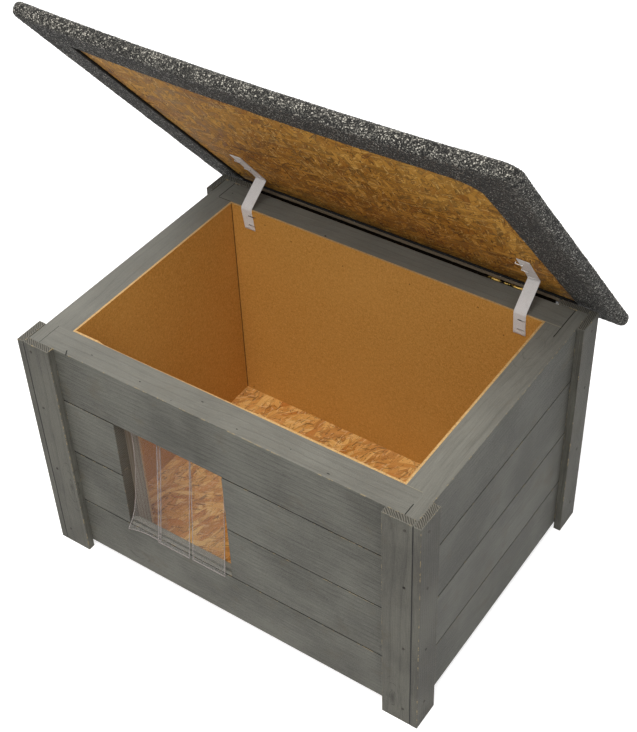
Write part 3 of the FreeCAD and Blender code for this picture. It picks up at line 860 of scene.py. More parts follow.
@dataclass(frozen=True)
class PlainMetal:
    """Worn metal with tarnished patches. Between two places across the house its bright colour shows as a painted
    highlight; outside them it is dull all over.
    """

    name: str
    bright: Screen
    dull: Screen
    rough: float = 0.3
    glint_span: Vec2 = (-1.0, 1.0)
    fade: float = 0.006

    def build(self) -> bpy.types.Material:
        """Make the material.

        Returns:
            The material.
        """
        t = Tree.material(self.name)
        here = t.place()
        tarnish = t.noise(here, 120.0, 4.0, 0.65) * 0.5 + t.noise(here, 11.0, 2.0, 0.5) * 0.5
        brush = t.noise(t.stretch(here, (30.0, 1500.0, 1500.0)), 1.0, 2.0, 0.6)
        # Painted highlight: the bright colour shows only between the two places across the house.
        x, (low, high) = t.split(here)[0], self.glint_span
        painted_glint = t.spread(x, low, low + self.fade) * t.spread(x, high - self.fade, high, 1.0, 0.0)
        bright = t.mix(painted_glint, paint(*self.dull), paint(*self.bright))
        colour = t.mix(t.spread(tarnish, 0.53, 0.60), bright, paint(*self.dull))
        return t.finish(colour, brush * 0.25 + self.rough, brush, 0.15, 0.0001, Metallic=1.0)


@dataclass(frozen=True)
class BareTimber:
    """Unpainted softwood or plywood of the hidden pieces, on Object coordinates."""

    name: str
    tone: Screen = (176, 140, 96)
    run: Run = Run.ACROSS

    def build(self) -> bpy.types.Material:
        """Make the material.

        Returns:
            The material.
        """
        t = Tree.material(self.name)
        turn = {Run.ACROSS: (0, 0, 0), Run.DEEP: (0, 0, -math.pi / 2), Run.UP: (0, math.pi / 2, 0)}[self.run]
        grain = t.group(EFFECTS.grain, Vector=t.stretch(t.place(), (1, 1, 1), turn), Ring_Width=0.005)
        colour = t.mix(grain["Rings"], paint(*self.tone), toned(self.tone, 0.8, 0.74, 0.66))
        colour = t.mix(grain["Knots"] * 0.8, colour, paint(92, 60, 34))
        return t.finish(colour, grain["Fibres"] * 0.25 + 0.55, grain["Height"], 0.4, 0.0004)


@dataclass(frozen=True)
class FoamBead:
    """White bead foam of the insulation."""

    name: str

    def build(self) -> bpy.types.Material:
        """Make the material.

        Returns:
            The material.
        """
        t = Tree.material(self.name)
        line = t.spread(t.cells(t.place(), 260.0, "DISTANCE_TO_EDGE")["Distance"], 0.0, 0.12)
        colour = t.mix(line, paint(206, 206, 202), paint(238, 238, 235))
        return t.finish(colour, 0.9 - line * 0.2, line, 0.4, 0.0006)


# ---------------------------------------------------------------------------- mesh helpers


def finish_mesh(name: str, bm: bmesh.types.BMesh, materials: Sequence[bpy.types.Material],
                smooth: bool = True) -> bpy.types.Object:
    """Turn a bmesh into an object at the origin.

    Args:
        name: The object's name.
        bm: The mesh, which is freed.
        materials: Its materials.
        smooth: Whether faces are shaded smooth.

    Returns:
        The object.
    """
    mesh = bpy.data.meshes.new(name)
    bm.normal_update()
    for face in bm.faces:
        face.smooth = smooth
    bm.to_mesh(mesh)
    bm.free()
    made = bpy.data.objects.new(name, mesh)
    bpy.context.scene.collection.objects.link(made)
    for material in materials:
        mesh.materials.append(material)
    return made


def store(piece: bpy.types.Object, name: str, values: Sequence[Value]) -> None:
    """Keep a value or a vector for each vertex of a piece.

    Args:
        piece: The piece.
        name: The attribute's name.
        values: One value or vector for each vertex.
    """
    single = isinstance(values[0], (int, float))
    piece.data.attributes.new(name, "FLOAT" if single else "FLOAT_VECTOR", "POINT")
    flat = list(values) if single else [c for value in values for c in value]
    piece.data.attributes[name].data.foreach_set("value" if single else "vector", flat)


def note(faces: Iterable[bmesh.types.BMFace], layer: bmesh.types.BMLayerItem, value: float) -> None:
    """Keep a value at the corners of some faces.

    Args:
        faces: The faces.
        layer: The loop layer that holds it.
        value: The value.
    """
    for face in faces:
        for loop in face.loops:
            loop[layer] = value


def skin(bm: bmesh.types.BMesh, rings: Sequence[list[bmesh.types.BMVert]]) -> list[list[bmesh.types.BMFace]]:
    """Join closed rings of as many points each.

    Args:
        bm: The mesh.
        rings: The rings in order.

    Returns:
        The band of faces between each ring and the next.
    """
    return [[bm.faces.new(four) for four in zip(a, a[1:] + a[:1], b[1:] + b[:1], b)]
            for a, b in zip(rings, rings[1:])]


def keep(piece: bpy.types.Object, body: str, slot: str, *nodes: str) -> bpy.types.Object:
    """Make a piece ride on a body and stand for CAD nodes.

    Args:
        piece: The piece.
        body: The body it rides on.
        slot: A material slot's name; not used.
        *nodes: The nodes it stands for.

    Returns:
        The piece.
    """
    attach(piece, body)
    if nodes:
        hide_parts(*nodes)
    LOG.info("%s: %d faces", piece.name, len(piece.data.polygons))
    return piece


@dataclass
class Board:
    """A sawn board: a section pushed along its grain, with eased arrises."""

    name: str
    section: list[Vec2]
    run: Run
    low: float
    high: float
    seed: float
    ease: float = 0.0006
    tint: float = 0.0
    sharp: Callable[[Vector], bool] = field(default=lambda _: False)
    dark: Callable[[Vector], bool] = field(default=lambda _: False)

    def point(self, a: float, b: float, along: float) -> Vector:
        """Place a section point at a distance along the board.

        Args:
            a: First place in the section.
            b: Second place in the section.
            along: Distance along the grain.

        Returns:
            The point.
        """
        if self.run is Run.ACROSS:
            return Vector((along, a, b))
        if self.run is Run.DEEP:
            return Vector((a, along, b))
        return Vector((a, b, along))

    def grain(self, co: Vector) -> Vector:
        """Where a point lies in the board's own grain pattern.

        Args:
            co: The point.

        Returns:
            Its coordinates, the first along the grain.
        """
        order = {Run.ACROSS: (0, 2, 1), Run.DEEP: (1, 2, 0), Run.UP: (2, 0, 1)}[self.run]
        x, y, z = (co[i] for i in order)
        if self.run is Run.UP:
            y, z = co[0] + co[1], co[1] - co[0]
        return Vector((x + self.seed * 1.37, y + self.seed * 0.71, z + self.seed * 0.43))

    def build(self, materials: Sequence[bpy.types.Material]) -> bpy.types.Object:
        """Make the board's object.

        Args:
            materials: The board's materials.

        Returns:
            The object, with its grain, wear, end and tint stored on the mesh.
        """
        bm = bmesh.new()
        ends = [[bm.verts.new(self.point(a, b, along)) for a, b in self.section]
                for along in (self.low, self.high)]
        caps = [bm.faces.new(ends[0]), bm.faces.new(ends[1][::-1])]
        count = len(self.section)
        for i in range(count):
            j = (i + 1) % count
            bm.faces.new((ends[0][j], ends[0][i], ends[1][i], ends[1][j]))
        bmesh.ops.recalc_face_normals(bm, faces=bm.faces)
        end, wear, joint_shade = [bm.loops.layers.float.new(name) for name in ("end", "wear", "joint_shade")]
        note(caps, end, 1.0)
        eased = [e for e in bm.edges if not self.sharp((e.verts[0].co + e.verts[1].co) / 2)
                 and e.calc_face_angle(0) > 0.2]
        if self.ease > 0:
            made = bmesh.ops.bevel(bm, geom=eased, offset=self.ease, segments=2, profile=0.6, affect="EDGES",
                                   clamp_overlap=True)
            note(made["faces"], wear, 1.0)
            note(made["faces"], end, 0.0)
        # Faces at the joints between boards are marked for painted shade.
        joints = [face for face in bm.faces if self.dark(face.calc_center_median())]
        note(joints, joint_shade, 1.0)
        note(joints, wear, 0.0)
        piece = finish_mesh(self.name, bm, materials, smooth=False)
        store(piece, "grain", [self.grain(v.co) for v in piece.data.vertices])
        store(piece, "tint", [self.tint] * len(piece.data.vertices))
        return piece


def rectangle(low: Vec2, high: Vec2) -> list[Vec2]:
    """The corners of a rectangular section."""
    return [(low[0], low[1]), (high[0], low[1]), (high[0], high[1]), (low[0], high[1])]


def block(name: str, low: Vec3, high: Vec3, run: Run, seed: float, **more: object) -> Board:
    """A board of rectangular section between two corners.

    Args:
        name: The board's name.
        low: Its lowest corner.
        high: Its highest corner.
        run: The direction of its grain.
        seed: A number of its own.
        **more: Other settings of the board.

    Returns:
        The board.
    """
    axis = run.value
    rest = [i for i in range(3) if i != axis]
    section = rectangle((low[rest[0]], low[rest[1]]), (high[rest[0]], high[rest[1]]))
    return Board(name, section, run, low[axis], high[axis], seed, **more)


# ---------------------------------------------------------------------------- the house


@dataclass
class Walls:
    """Tongued and grooved planks of the four walls."""

    sizes: HouseSizes
    stain: bpy.types.Material
    rows: tuple[str, ...] = ("bottom", "lower", "upper", "top")

    def section(self, row: int, sign: int, inner: float) -> list[Vec2]:
        """One plank's section, with its groove, tongue and bevels.

        Args:
            row: Row from the ground, from 0.
            sign: Side of the house on which the wall stands.
            inner: Distance of the plank's back face from the middle.

        Returns:
            The section's corners.
        """
        s = self.sizes
        low, high = s.levels[row], s.levels[row + 1]
        mid, half, thick = 0.009, 0.003, 0.018

        def u(offset: float) -> float:
            """Distance from the plank's back face as a place."""
            return sign * (inner + offset)

        points = [(u(0), low)]
        if row > 0:
            near, far = mid - half - s.play, mid + half + s.play
            deep = low + s.tongue + s.play
            points += [(u(near), low), (u(near), deep), (u(far), deep), (u(far), low)]
        top = s.bevel * (0.4 if row == 3 else 1.0)
        points += [(u(thick - 2.0 * s.bevel), low), (u(thick), low + 1.4 * s.bevel),
                   (u(thick), high - top), (u(thick - 1.6 * top), high)]
        if row < 3:
            points += [(u(mid + half), high), (u(mid + half), high + s.tongue),
                       (u(mid - half), high + s.tongue), (u(mid - half), high)]
        return points + [(u(0), high)]

    def flush(self, middle: Vector) -> bool:
        """Whether an edge lies on a plank's back, tight against its batten, and stays sharp."""
        return abs(abs(middle.y) - self.sizes.in_y) < 1e-4 or abs(abs(middle.x) - self.sizes.in_x) < 1e-4

    def joint(self, middle: Vector) -> bool:
        """Tell the bevels at the joints between planks from other faces.

        Args:
            middle: A face's middle.

        Returns:
            Whether the face is such a bevel.
        """
        s = self.sizes
        outer = max(abs(middle.y) - s.half_deep, abs(middle.x) - s.half_wide) > -0.0014
        return outer and any(-0.0009 < middle.z - level < 0.0011 for level in s.levels[1:4])

    def plank(self, name: str, row: int, wall: str, low: float, high: float, seed: float,
              tint: float) -> bpy.types.Object:
        """Make one plank and let it stand for its node.

        Args:
            name: Its node.
            row: Row from the ground, from 0.
            wall: Its wall.
            low: Where it starts along the wall.
            high: Where it ends.
            seed: A number of its own.
            tint: How much paler it is.

        Returns:
            The plank.
        """
        along_x = wall in ("front", "back")
        sign = 1 if wall in ("back", "right") else -1
        section = self.section(row, sign, self.sizes.in_y if along_x else self.sizes.in_x)
        board = Board("board_" + name, section, Run.ACROSS if along_x else Run.DEEP, low, high, seed,
                      ease=0.0003, tint=tint, sharp=self.flush, dark=self.joint)
        piece = board.build([self.stain])
        return keep(piece, "house", "stained_wood", name)

    def build(self) -> None:
        """Make every plank."""
        s = self.sizes
        dice = random.Random(11)
        for row, label in enumerate(self.rows):
            tint = dice.uniform(-0.2, 0.2)
            seed = 1.0 + row * 2.3
            if label in ("lower", "upper"):
                self.plank(f"front_plank_{label}_left", row, "front", -s.in_x, s.door[0], seed, tint)
                self.plank(f"front_plank_{label}_right", row, "front", s.door[1], s.in_x, seed, tint)
            else:
                self.plank(f"front_plank_{label}", row, "front", -s.in_x, s.in_x, seed, tint)
            self.plank(f"back_plank_{label}", row, "back", -s.in_x, s.in_x, seed + 11.0, dice.uniform(-0.25, 0.25))
            for wall, more in (("left", 23.0), ("right", 37.0)):
                self.plank(f"{wall}_plank_{label}", row, wall, -s.half_deep, s.half_deep, seed + more,
                           dice.uniform(-0.25, 0.25))


@dataclass
class CornerBoards:
    """Two boards at each corner, nailed on, which carry the house."""

    sizes: HouseSizes
    stain: bpy.types.Material

    def joint(self, middle: Vector) -> bool:
        """Whether a face lies at the joint between the two boards of a corner."""
        s = self.sizes
        return abs(middle.y) > s.front_y - 0.0012 and abs(abs(middle.x) - s.half_wide) < 0.0012

    def build(self) -> None:
        """Make the eight boards."""
        s = self.sizes
        seed = 60.0
        for sx, side in ((-1, "left"), (1, "right")):
            for sy, end in ((-1, "front"), (1, "back")):
                node = f"{end}_{side}_"
                for kind, stands, x, y, extra, tint in (
                        ("face", end, (s.half_wide, s.face_board_in), (s.front_y, s.half_deep), 0.0, 0.1),
                        ("edge", "side", (s.side_x, s.half_wide), (s.front_y, s.side_board_in), 3.1, -0.05)):
                    xs, ys = sorted(sx * v for v in x), sorted(sy * v for v in y)
                    board = block(f"corner_{end}_{side}_{kind}", (xs[0], ys[0], 0.0), (xs[1], ys[1], s.board_top),
                                  Run.UP, seed + extra, ease=0.0009, dark=self.joint, tint=tint)
                    keep(board.build([self.stain]), "house", "stained_wood", f"{node}{stands}_board")
                seed += 7.7


@dataclass
class Rim:
    """The battens behind the planks, whose tops show as one surface with them."""

    sizes: HouseSizes
    stain: bpy.types.Material

    def build(self) -> None:
        """Make the four battens."""
        s = self.sizes
        spans = {"front_top_batten": ((-s.in_x, -s.in_y), (s.in_x, -s.cav_y), Run.ACROSS, 7.9),
                 "back_top_batten": ((-s.in_x, s.cav_y), (s.in_x, s.in_y), Run.ACROSS, 18.9),
                 "left_top_batten": ((-s.in_x, -s.cav_y), (-s.cav_x, s.cav_y), Run.DEEP, 30.9),
                 "right_top_batten": ((s.cav_x, -s.cav_y), (s.in_x, s.cav_y), Run.DEEP, 44.9)}
        for node, (low, high, run, seed) in spans.items():
            board = block("rim_" + node, (*low, s.batten_low), (*high, s.rim), run, seed, ease=0.0)
            keep(board.build([self.stain]), "house", "batten_wood", node)


@dataclass
class Lining:
    """Hardboard inside the walls, with its pale cut edge at the rim."""

    sizes: HouseSizes
    face: bpy.types.Material
    edge: bpy.types.Material

    def sheet(self, node: str, outline: list[Vec2], thin: Vec2,
              along_x: bool) -> bpy.types.Object:
        """One sheet from its outline.

        Args:
            node: The node it stands for.
            outline: Corners along the wall and up.
            thin: The sheet's two faces.
            along_x: Whether the wall runs across the house.

        Returns:
            The sheet.
        """
        bm = bmesh.new()
        sides = [[bm.verts.new((a, depth, b) if along_x else (depth, a, b)) for a, b in outline] for depth in thin]
        bm.faces.new(sides[0])
        bm.faces.new(sides[1][::-1])
        rims = [bm.faces.new((sides[0][j], sides[0][j - 1], sides[1][j - 1], sides[1][j]))
                for j in [*range(1, len(outline)), 0]]
        bmesh.ops.recalc_face_normals(bm, faces=bm.faces)
        for face in rims:
            face.material_index = 1
        piece = finish_mesh("lining_" + node, bm, [self.face, self.edge], smooth=False)
        return keep(piece, "house", "hardboard", node)

    def build(self) -> None:
        """Make the four sheets."""
        s = self.sizes
        low, high, (d0, d1) = s.floor_top, s.rim, s.door
        whole = [(-s.cav_x, low), (s.cav_x, low), (s.cav_x, high), (-s.cav_x, high)]
        holed = [(-s.cav_x, low), (d0, low), (d0, s.levels[3]), (d1, s.levels[3]), (d1, low), (s.cav_x, low),
                 (s.cav_x, high), (0.045, high), (0.010, high - 0.0016), (-0.150, high - 0.0030),
                 (-0.208, high - 0.0026), (-0.218, high), (-s.cav_x, high)]
        self.sheet("front_lining", holed, (-s.cav_y, -s.room_y), True)
        self.sheet("back_lining", whole, (s.room_y, s.cav_y), True)
        side = [(-s.room_y, low), (s.room_y, low), (s.room_y, high), (-s.room_y, high)]
        self.sheet("left_lining", side, (-s.cav_x, -s.room_x), False)
        self.sheet("right_lining", side, (s.room_x, s.cav_x), False)


@dataclass
class Floor:
    """The floor of coarse strand board."""

    sizes: HouseSizes
    board: bpy.types.Material

    def build(self) -> None:
        """Make the panel with its own pattern coordinates."""
        s = self.sizes
        bm = bmesh.new()
        bmesh.ops.create_cube(bm, size=1.0)
        for vertex in bm.verts:
            vertex.co = Vector((vertex.co.x * 2 * s.in_x, vertex.co.y * 2 * s.in_y,
                                s.foot + (vertex.co.z + 0.5) * (s.floor_top - s.foot)))
        bmesh.ops.bevel(bm, geom=list(bm.edges), offset=0.0003, segments=1, affect="EDGES")
        piece = finish_mesh("floor_strands", bm, [self.board], smooth=False)
        store(piece, "sheet", [(v.co.x, v.co.y + v.co.z, 0.0) for v in piece.data.vertices])
        keep(piece, "house", "floor_osb", "floor_panel")


# ---------------------------------------------------------------------------- doorway strips


@dataclass
class CurtainStrip:
    """One clear strip, clamped above the doorway and hanging out over the sill."""

    side: str
    left: float
    wide: float
    layer: float
    lean: float
    tail: float
    curl: float
    drift: float
    vinyl: bpy.types.Material
    thick: float = 0.0012
    pivot: Vec2 = (-0.1964, 0.2953)
    head: float = 0.028
    doorway: float = 0.1948
    margin: float = 0.022
    steps: int = 48

    def centre(self, s: float, u: float) -> Vector:
        """Middle of the strip at a distance below the pivot.

        Args:
            s: Distance below the pivot, negative in the clamped head.
            u: Place across the strip, from 0 to 1.

        Returns:
            The point.
        """
        y0, z0 = self.pivot
        x = self.left + u * self.wide - self.drift * (max(0.0, s) / 0.2) ** 1.5
        if s <= 0:
            return Vector((x, y0 + self.layer, z0 - s))
        ease = min(1.0, s / 0.012)
        slope = self.lean * ease * ease * (3 - 2 * ease)
        out = math.tan(slope) * s
        edge = max(0.0, 1 - u * 1.6) ** 2
        bow = self.curl * edge * math.sin(math.pi * min(1.0, s / 0.2))
        lift = self.curl * edge * max(0.0, (s - 0.16) / 0.04) ** 2
        return Vector((x + bow * 0.9, y0 + self.layer - out - lift, z0 - s + lift * 0.4))

    def build(self) -> None:
        """Make the strip in its bent, hanging shape."""
        length = self.doorway + self.tail
        columns = [0.0] + [self.margin + (1 - 2 * self.margin) * k / 12 for k in range(13)] + [1.0]
        down, last = self.steps, len(columns) - 1
        bm = bmesh.new()
        end_layer = bm.loops.layers.float.new("end")
        rows = []
        for i in range(down + 1):
            s = -self.head + (length + self.head) * i / down
            row = []
            for u in columns:
                here = self.centre(s, u)
                along = self.centre(s + 0.0005, u) - self.centre(s - 0.0005, u)
                across = self.centre(s, min(1.0, u + 0.01)) - self.centre(s, max(0.0, u - 0.01))
                out = across.cross(along).normalized() * (self.thick / 2)
                row.append((bm.verts.new(here + out), bm.verts.new(here - out)))
            rows.append(row)
        for upper, lower in zip(rows, rows[1:]):
            for j in range(last):
                a, b, c, d = upper[j], upper[j + 1], lower[j + 1], lower[j]
                pair = bm.faces.new((a[0], b[0], c[0], d[0])), bm.faces.new((d[1], c[1], b[1], a[1]))
                note(pair, end_layer, 0.55 if j in (0, last - 1) else 0.0)
        rims = [bm.faces.new((a[j][0], b[j][0], b[j][1], a[j][1])) for a, b in zip(rows, rows[1:]) for j in (0, last)]
        rims += [bm.faces.new((row[j][0], row[j][1], row[j + 1][1], row[j + 1][0]))
                 for j in range(last) for row in (rows[0], rows[-1])]
        bmesh.ops.recalc_face_normals(bm, faces=bm.faces)
        note(rims, end_layer, 1.0)
        piece = finish_mesh(f"strip_{self.side}_sheet", bm, [self.vinyl])
        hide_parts("door_strip_" + self.side, "strip_heads")
        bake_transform(piece)
        LOG.info("%s: %d faces", piece.name, len(piece.data.polygons))


# ---------------------------------------------------------------------------- straps


@dataclass
class Strap:
    """A webbing stay from the back lining, over the rim, to the lid's underside."""

    side: str
    low_x: float
    rim_x: float
    lid_x: float
    far_x: float
    tape: bpy.types.Material
    wide: float = 0.0185
    thick: float = 0.0012
    low_z: float = 0.354
    turn: float = 0.004
    step: float = 0.0025

    def route(self) -> list[tuple[Vector, Vector]]:
        """Middle line of the tape.

        Returns:
            Its points, each with its outward direction.
        """
        under = LID.osb_low - 0.0002
        near, far = LID.at(self.lid_x, 0.050, under), LID.at(self.lid_x, 0.150, under)
        far.x = self.far_x
        corners = [Vector((self.low_x, HOUSE.room_y, self.low_z)), Vector((self.rim_x, HOUSE.room_y, HOUSE.rim)),
                   near, far]
        points: list[Vector] = [corners[0]]
        for i in (1, 2):
            before, here, after = corners[i - 1], corners[i], corners[i + 1]
            a = here + (before - here).normalized() * self.turn
            b = here + (after - here).normalized() * self.turn
            for k in range(7):
                w = k / 6
                points.append(a * (1 - w) ** 2 + here * 2 * w * (1 - w) + b * w ** 2)
        points.append(corners[3])
        dense: list[Vector] = []
        for p, q in zip(points, points[1:]):
            count = max(1, int((q - p).length / self.step))
            dense += [p.lerp(q, k / count) for k in range(count)]
        dense.append(points[-1])
        ways = [b - a for a, b in zip([dense[0], *dense], [*dense[1:], dense[-1]])]
        return [(p, Vector((1, 0, 0)).cross(way.normalized()).normalized()) for p, way in zip(dense, ways)]

    def build(self) -> None:
        """Make the tape, thicker at its selvedges."""
        ring = [(-0.5, 0.15), (-0.48, -0.05), (-0.42, 0.08), (0.0, 0.12), (0.42, 0.08), (0.48, -0.05), (0.5, 0.15),
                (0.5, 0.85), (0.48, 1.05), (0.42, 0.92), (0.0, 0.9), (-0.42, 0.92), (-0.48, 1.05), (-0.5, 0.85)]
        bm = bmesh.new()
        route = self.route()
        rows, spots = [], []
        gone = 0.0
        for i, (p, out) in enumerate(route):
            gone += (p - route[i - 1][0]).length if i else 0.0
            row = []
            for a, b in ring:
                row.append(bm.verts.new(p + Vector((a * self.wide, 0, 0)) + out * (b * self.thick)))
                spots.append((a * self.wide, gone, 0.0))
            rows.append(row)
        skin(bm, rows)
        bm.faces.new(rows[0])
        bm.faces.new(rows[-1][::-1])
        bmesh.ops.recalc_face_normals(bm, faces=bm.faces)
        piece = finish_mesh(f"tape_{self.side}", bm, [self.tape])
        store(piece, "tape", spots)
        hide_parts("strap_" + self.side)
        tuple(LID.at(0, 0.046, LID.osb_low))
        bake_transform(piece)
        LOG.info("%s: %d faces", piece.name, len(piece.data.polygons))


# ---------------------------------------------------------------------------- the lid


@dataclass
class Lid:
    """Strand board wrapped in felt, bowed, with the felt folded under its edges."""

    sizes: LidSizes
    board: bpy.types.Material
    felt: bpy.types.Material
    grit: bpy.types.Material
    across: int = 44
    deep: int = 38
    round: int = 8
    corner: float = 0.012
    low_arris: float = 0.008
    top_arris: float = 0.006
    fold: float = 0.030
    blunt: float = 0.010
    reach: float = 0.286
    granule: float = 0.00085

    def ring(self, inset: float, n: float, radius: float, chamfer: float = 0.0,
             rear: float | None = None) -> list[Vec3]:
        """A rounded rectangle round the lid.

        Args:
            inset: Distance in from each side.
            n: Its height.
            radius: Radius of its corners.
            chamfer: Extra radius of the front right corner.
            rear: Distance in from the rear, where it is another.

        Returns:
            Its points as x, v and n, counter-clockwise seen from above, from the front left corner.
        """
        s = self.sizes
        side, front, back = s.half_wide - inset, s.front - inset, (inset if rear is None else rear) - s.rear
        arcs = []
        for sx, v, way, r, start in ((-1, front, -1, radius, 90), (-1, back, 1, radius, 180),
                                     (1, back, 1, radius, 270), (1, front, -1, radius + chamfer, 0)):
            mx, mv = sx * (side - r), v + way * r
            turns = [math.radians(start + 90 * i / self.round) for i in range(self.round + 1)]
            arcs.append([(mx + r * math.cos(turn), mv + r * math.sin(turn), n) for turn in turns])
        points: list[Vec3] = []
        for k, (arc, following) in enumerate(zip(arcs, arcs[1:] + arcs[:1])):
            (ax, av, _), (bx, bv, _) = arc[-1], following[0]
            count = self.across if k % 2 else self.deep
            shares = [i / count for i in range(1, count)]
            points += arc + [(ax * (1 - w) + bx * w, av * (1 - w) + bv * w, n) for w in shares]
        return points

    def felt_plan(self) -> list[tuple[str, tuple[float, ...]]]:
        """The felt's rings: its hidden face, cut edge, flap, rounded arrises, side and top.

        Returns:
            The kind of each ring, and what ring() needs for it.
        """
        s, corner, low, top, fold, blunt = (self.sizes, self.corner, self.low_arris, self.top_arris, self.fold,
                                            self.blunt)
        flap, rear = s.flap, s.rear_flap
        turns = [math.radians(90 * k / 6) for k in range(7)]
        plan = [("in", (s.felt + self.reach * k / 14, s.osb_high, 0.002)) for k in range(14, 0, -1)]
        plan += [("in", (s.felt, s.osb_high, 0.008)), ("in", (s.felt, s.osb_low, 0.008)),
                 ("in", (flap, s.osb_low, 0.0005, fold, rear)),
                 ("cut", (flap, s.flap_low + 0.0006, 0.0005, fold, rear)),
                 ("cut", (flap - 0.0008, s.flap_low, 0.0008, fold, rear - 0.0008))]
        for w in (k / 9 for k in range(1, 9)):
            plan.append(("", (flap * (1 - w) + low * w, s.flap_low, 0.001 + (corner - low) * w,
                              fold * (1 - w) + 0.008 * w, rear * (1 - w) + low * w)))
        for inset, turn in ((low * (1 - math.sin(turn)), turn) for turn in turns):
            plan.append(("", (inset, s.flap_low + low * (1 - math.cos(turn)), corner - inset, blunt)))
        for inset, turn in ((top * (1 - math.cos(turn)), turn) for turn in turns):
            plan.append(("", (inset, s.top - top * (1 - math.sin(turn)), corner - inset * 0.8, blunt)))
        reach = s.felt - 0.001 + self.reach - top
        plan += [("", (top + reach * k / 18, s.top, corner - top, blunt * (1 - k / 18))) for k in range(1, 19)]
        return plan

    def build_felt(self) -> bpy.types.Object:
        """Make the felt from its rings, folded and a little uneven.

        Returns:
            The felt.
        """
        plan = self.felt_plan()
        bm = bmesh.new()
        end_layer = bm.loops.layers.float.new("end")
        rings = [[bm.verts.new(self.sizes.at(*point)) for point in self.ring(*given)] for _, given in plan]
        zones = [i / (len(rings) - 1) for i in range(len(rings)) for _ in rings[0]]
        for (kind, _), (following, _), band in zip(plan, plan[1:], skin(bm, rings)):
            if following == "cut" and kind:
                note(band, end_layer, 1.0)
        self._close(bm, rings[0])
        self._close(bm, rings[-1])
        bmesh.ops.recalc_face_normals(bm, faces=bm.faces)
        self._roughen(bm)
        piece = finish_mesh("felt_cover", bm, [self.felt])
        store(piece, "zone", zones)
        return keep(piece, "lid", "roofing_felt", "lid_felt")

    @staticmethod
    def _close(bm: bmesh.types.BMesh, ring: list[bmesh.types.BMVert]) -> None:
        """Fill the slot that the innermost ring leaves."""
        edges = [bm.edges.get(pair) for pair in zip(ring, ring[1:] + ring[:1])]
        bmesh.ops.triangle_fill(bm, use_beauty=True, edges=[edge for edge in edges if edge])

    @staticmethod
    def _roughen(bm: bmesh.types.BMesh) -> None:
        """Let the felt wander a little, as a hand-folded sheet does.

        Args:
            bm: The felt's mesh.
        """
        bm.normal_update()
        for vertex in bm.verts:
            wave = noise.noise(vertex.co * 34.0) * 0.0005 + noise.noise(vertex.co * 150.0) * 0.0002
            vertex.co += vertex.normal * wave

    def build_board(self) -> bpy.types.Object:
        """The strand board inside the felt, its corners cut back under the folds.

        Returns:
            The board.
        """
        s = self.sizes
        under = [(s.felt + 0.0002 + self.reach * k / 18, s.osb_low) for k in range(18, -1, -1)]
        over = [(inset, s.osb_high) for inset, _ in reversed(under)]
        bm = bmesh.new()
        spots: list[Vec3] = []
        built = []
        for inset, n in under + over:
            points = self.ring(inset, n, max(0.0015, 0.010 - inset * 0.4), 0.012 * max(0.0, 1 - inset * 8))
            built.append([bm.verts.new(s.at(*point)) for point in points])
            spots += [(x, v, 0.0) for x, v, _ in points]
        skin(bm, built)
        self._close(bm, built[0])
        self._close(bm, built[-1])
        bmesh.ops.recalc_face_normals(bm, faces=bm.faces)
        piece = finish_mesh("lid_strands", bm, [self.board], smooth=False)
        store(piece, "sheet", spots)
        return keep(piece, "lid", "lid_osb", "lid_board")

    def scatter(self, felt: bpy.types.Object, name: str, density: float, seed: int, low: float,
                high: float) -> None:
        """Loose granules over part of the felt, made with Geometry Nodes.

        Args:
            felt: The felt to scatter over.
            name: Name of the new piece.
            density: Granules in a square metre.
            seed: Seed of the scatter.
            low: Lowest share of the felt's own rings used.
            high: Highest share used.
        """
        tree = bpy.data.node_groups.new(name, "GeometryNodeTree")
        for way in ("INPUT", "OUTPUT"):
            tree.interface.new_socket(name="Geometry", in_out=way, socket_type="NodeSocketGeometry")
        values = {"Density": density, "Size": self.granule, "Low": low, "High": high, "Seed": seed}
        kinds = {float: "NodeSocketFloat", int: "NodeSocketInt"}
        ids = {title: tree.interface.new_socket(name=title, in_out="INPUT", socket_type=kinds[type(value)]).identifier
               for title, value in values.items()}
        t = Tree(tree)
        given = t.outs(t.node("NodeGroupInput"))
        zone = t.node("GeometryNodeInputNamedAttribute", {"Name": "zone"}, data_type="FLOAT").outputs["Attribute"]
        inside = t.math("GREATER_THAN", zone, given["Low"]) * t.math("LESS_THAN", zone, given["High"])
        points = t.node("GeometryNodeDistributePointsOnFaces",
                        {"Mesh": given["Geometry"], "Selection": inside, "Density": given["Density"],
                         "Seed": given["Seed"]}, distribute_method="RANDOM")
        grain = t.node("GeometryNodeMeshUVSphere", {"Segments": 4, "Rings": 2, "Radius": given["Size"]})
        big = t.node("FunctionNodeRandomValue", data_type="FLOAT_VECTOR")
        turn = t.node("FunctionNodeRandomValue", data_type="FLOAT_VECTOR")
        for node, key, value in ((big, "Min", (0.45, 0.45, 0.35)), (big, "Max", (1.15, 1.15, 0.9)),
                                 (big, "Seed", given["Seed"]), (turn, "Max", (0.5, 0.5, 6.28))):
            t.put(node.inputs[key], value)
        both = t.node("FunctionNodeRotateEuler", space="LOCAL")
        t.put(both.inputs[0], points.outputs["Rotation"])
        t.put(both.inputs["Rotate By"], turn.outputs["Value"])
        placed = t.node("GeometryNodeInstanceOnPoints",
                        {"Points": points.outputs["Points"], "Instance": grain.outputs["Mesh"],
                         "Rotation": both.outputs[0], "Scale": big.outputs["Value"]})
        real = t.node("GeometryNodeRealizeInstances", {0: placed.outputs[0]})
        dressed = t.node("GeometryNodeSetMaterial", {"Geometry": real.outputs[0], "Material": self.grit})
        t.node("NodeGroupOutput", {0: dressed.outputs[0]})
        source = felt.copy()
        source.data = felt.data.copy()
        bpy.context.scene.collection.objects.link(source)
        live = source.modifiers.new(name, "NODES")
        live.node_group = tree
        for title, value in values.items():
            live[ids[title]] = value
        shot = bpy.context.evaluated_depsgraph_get()
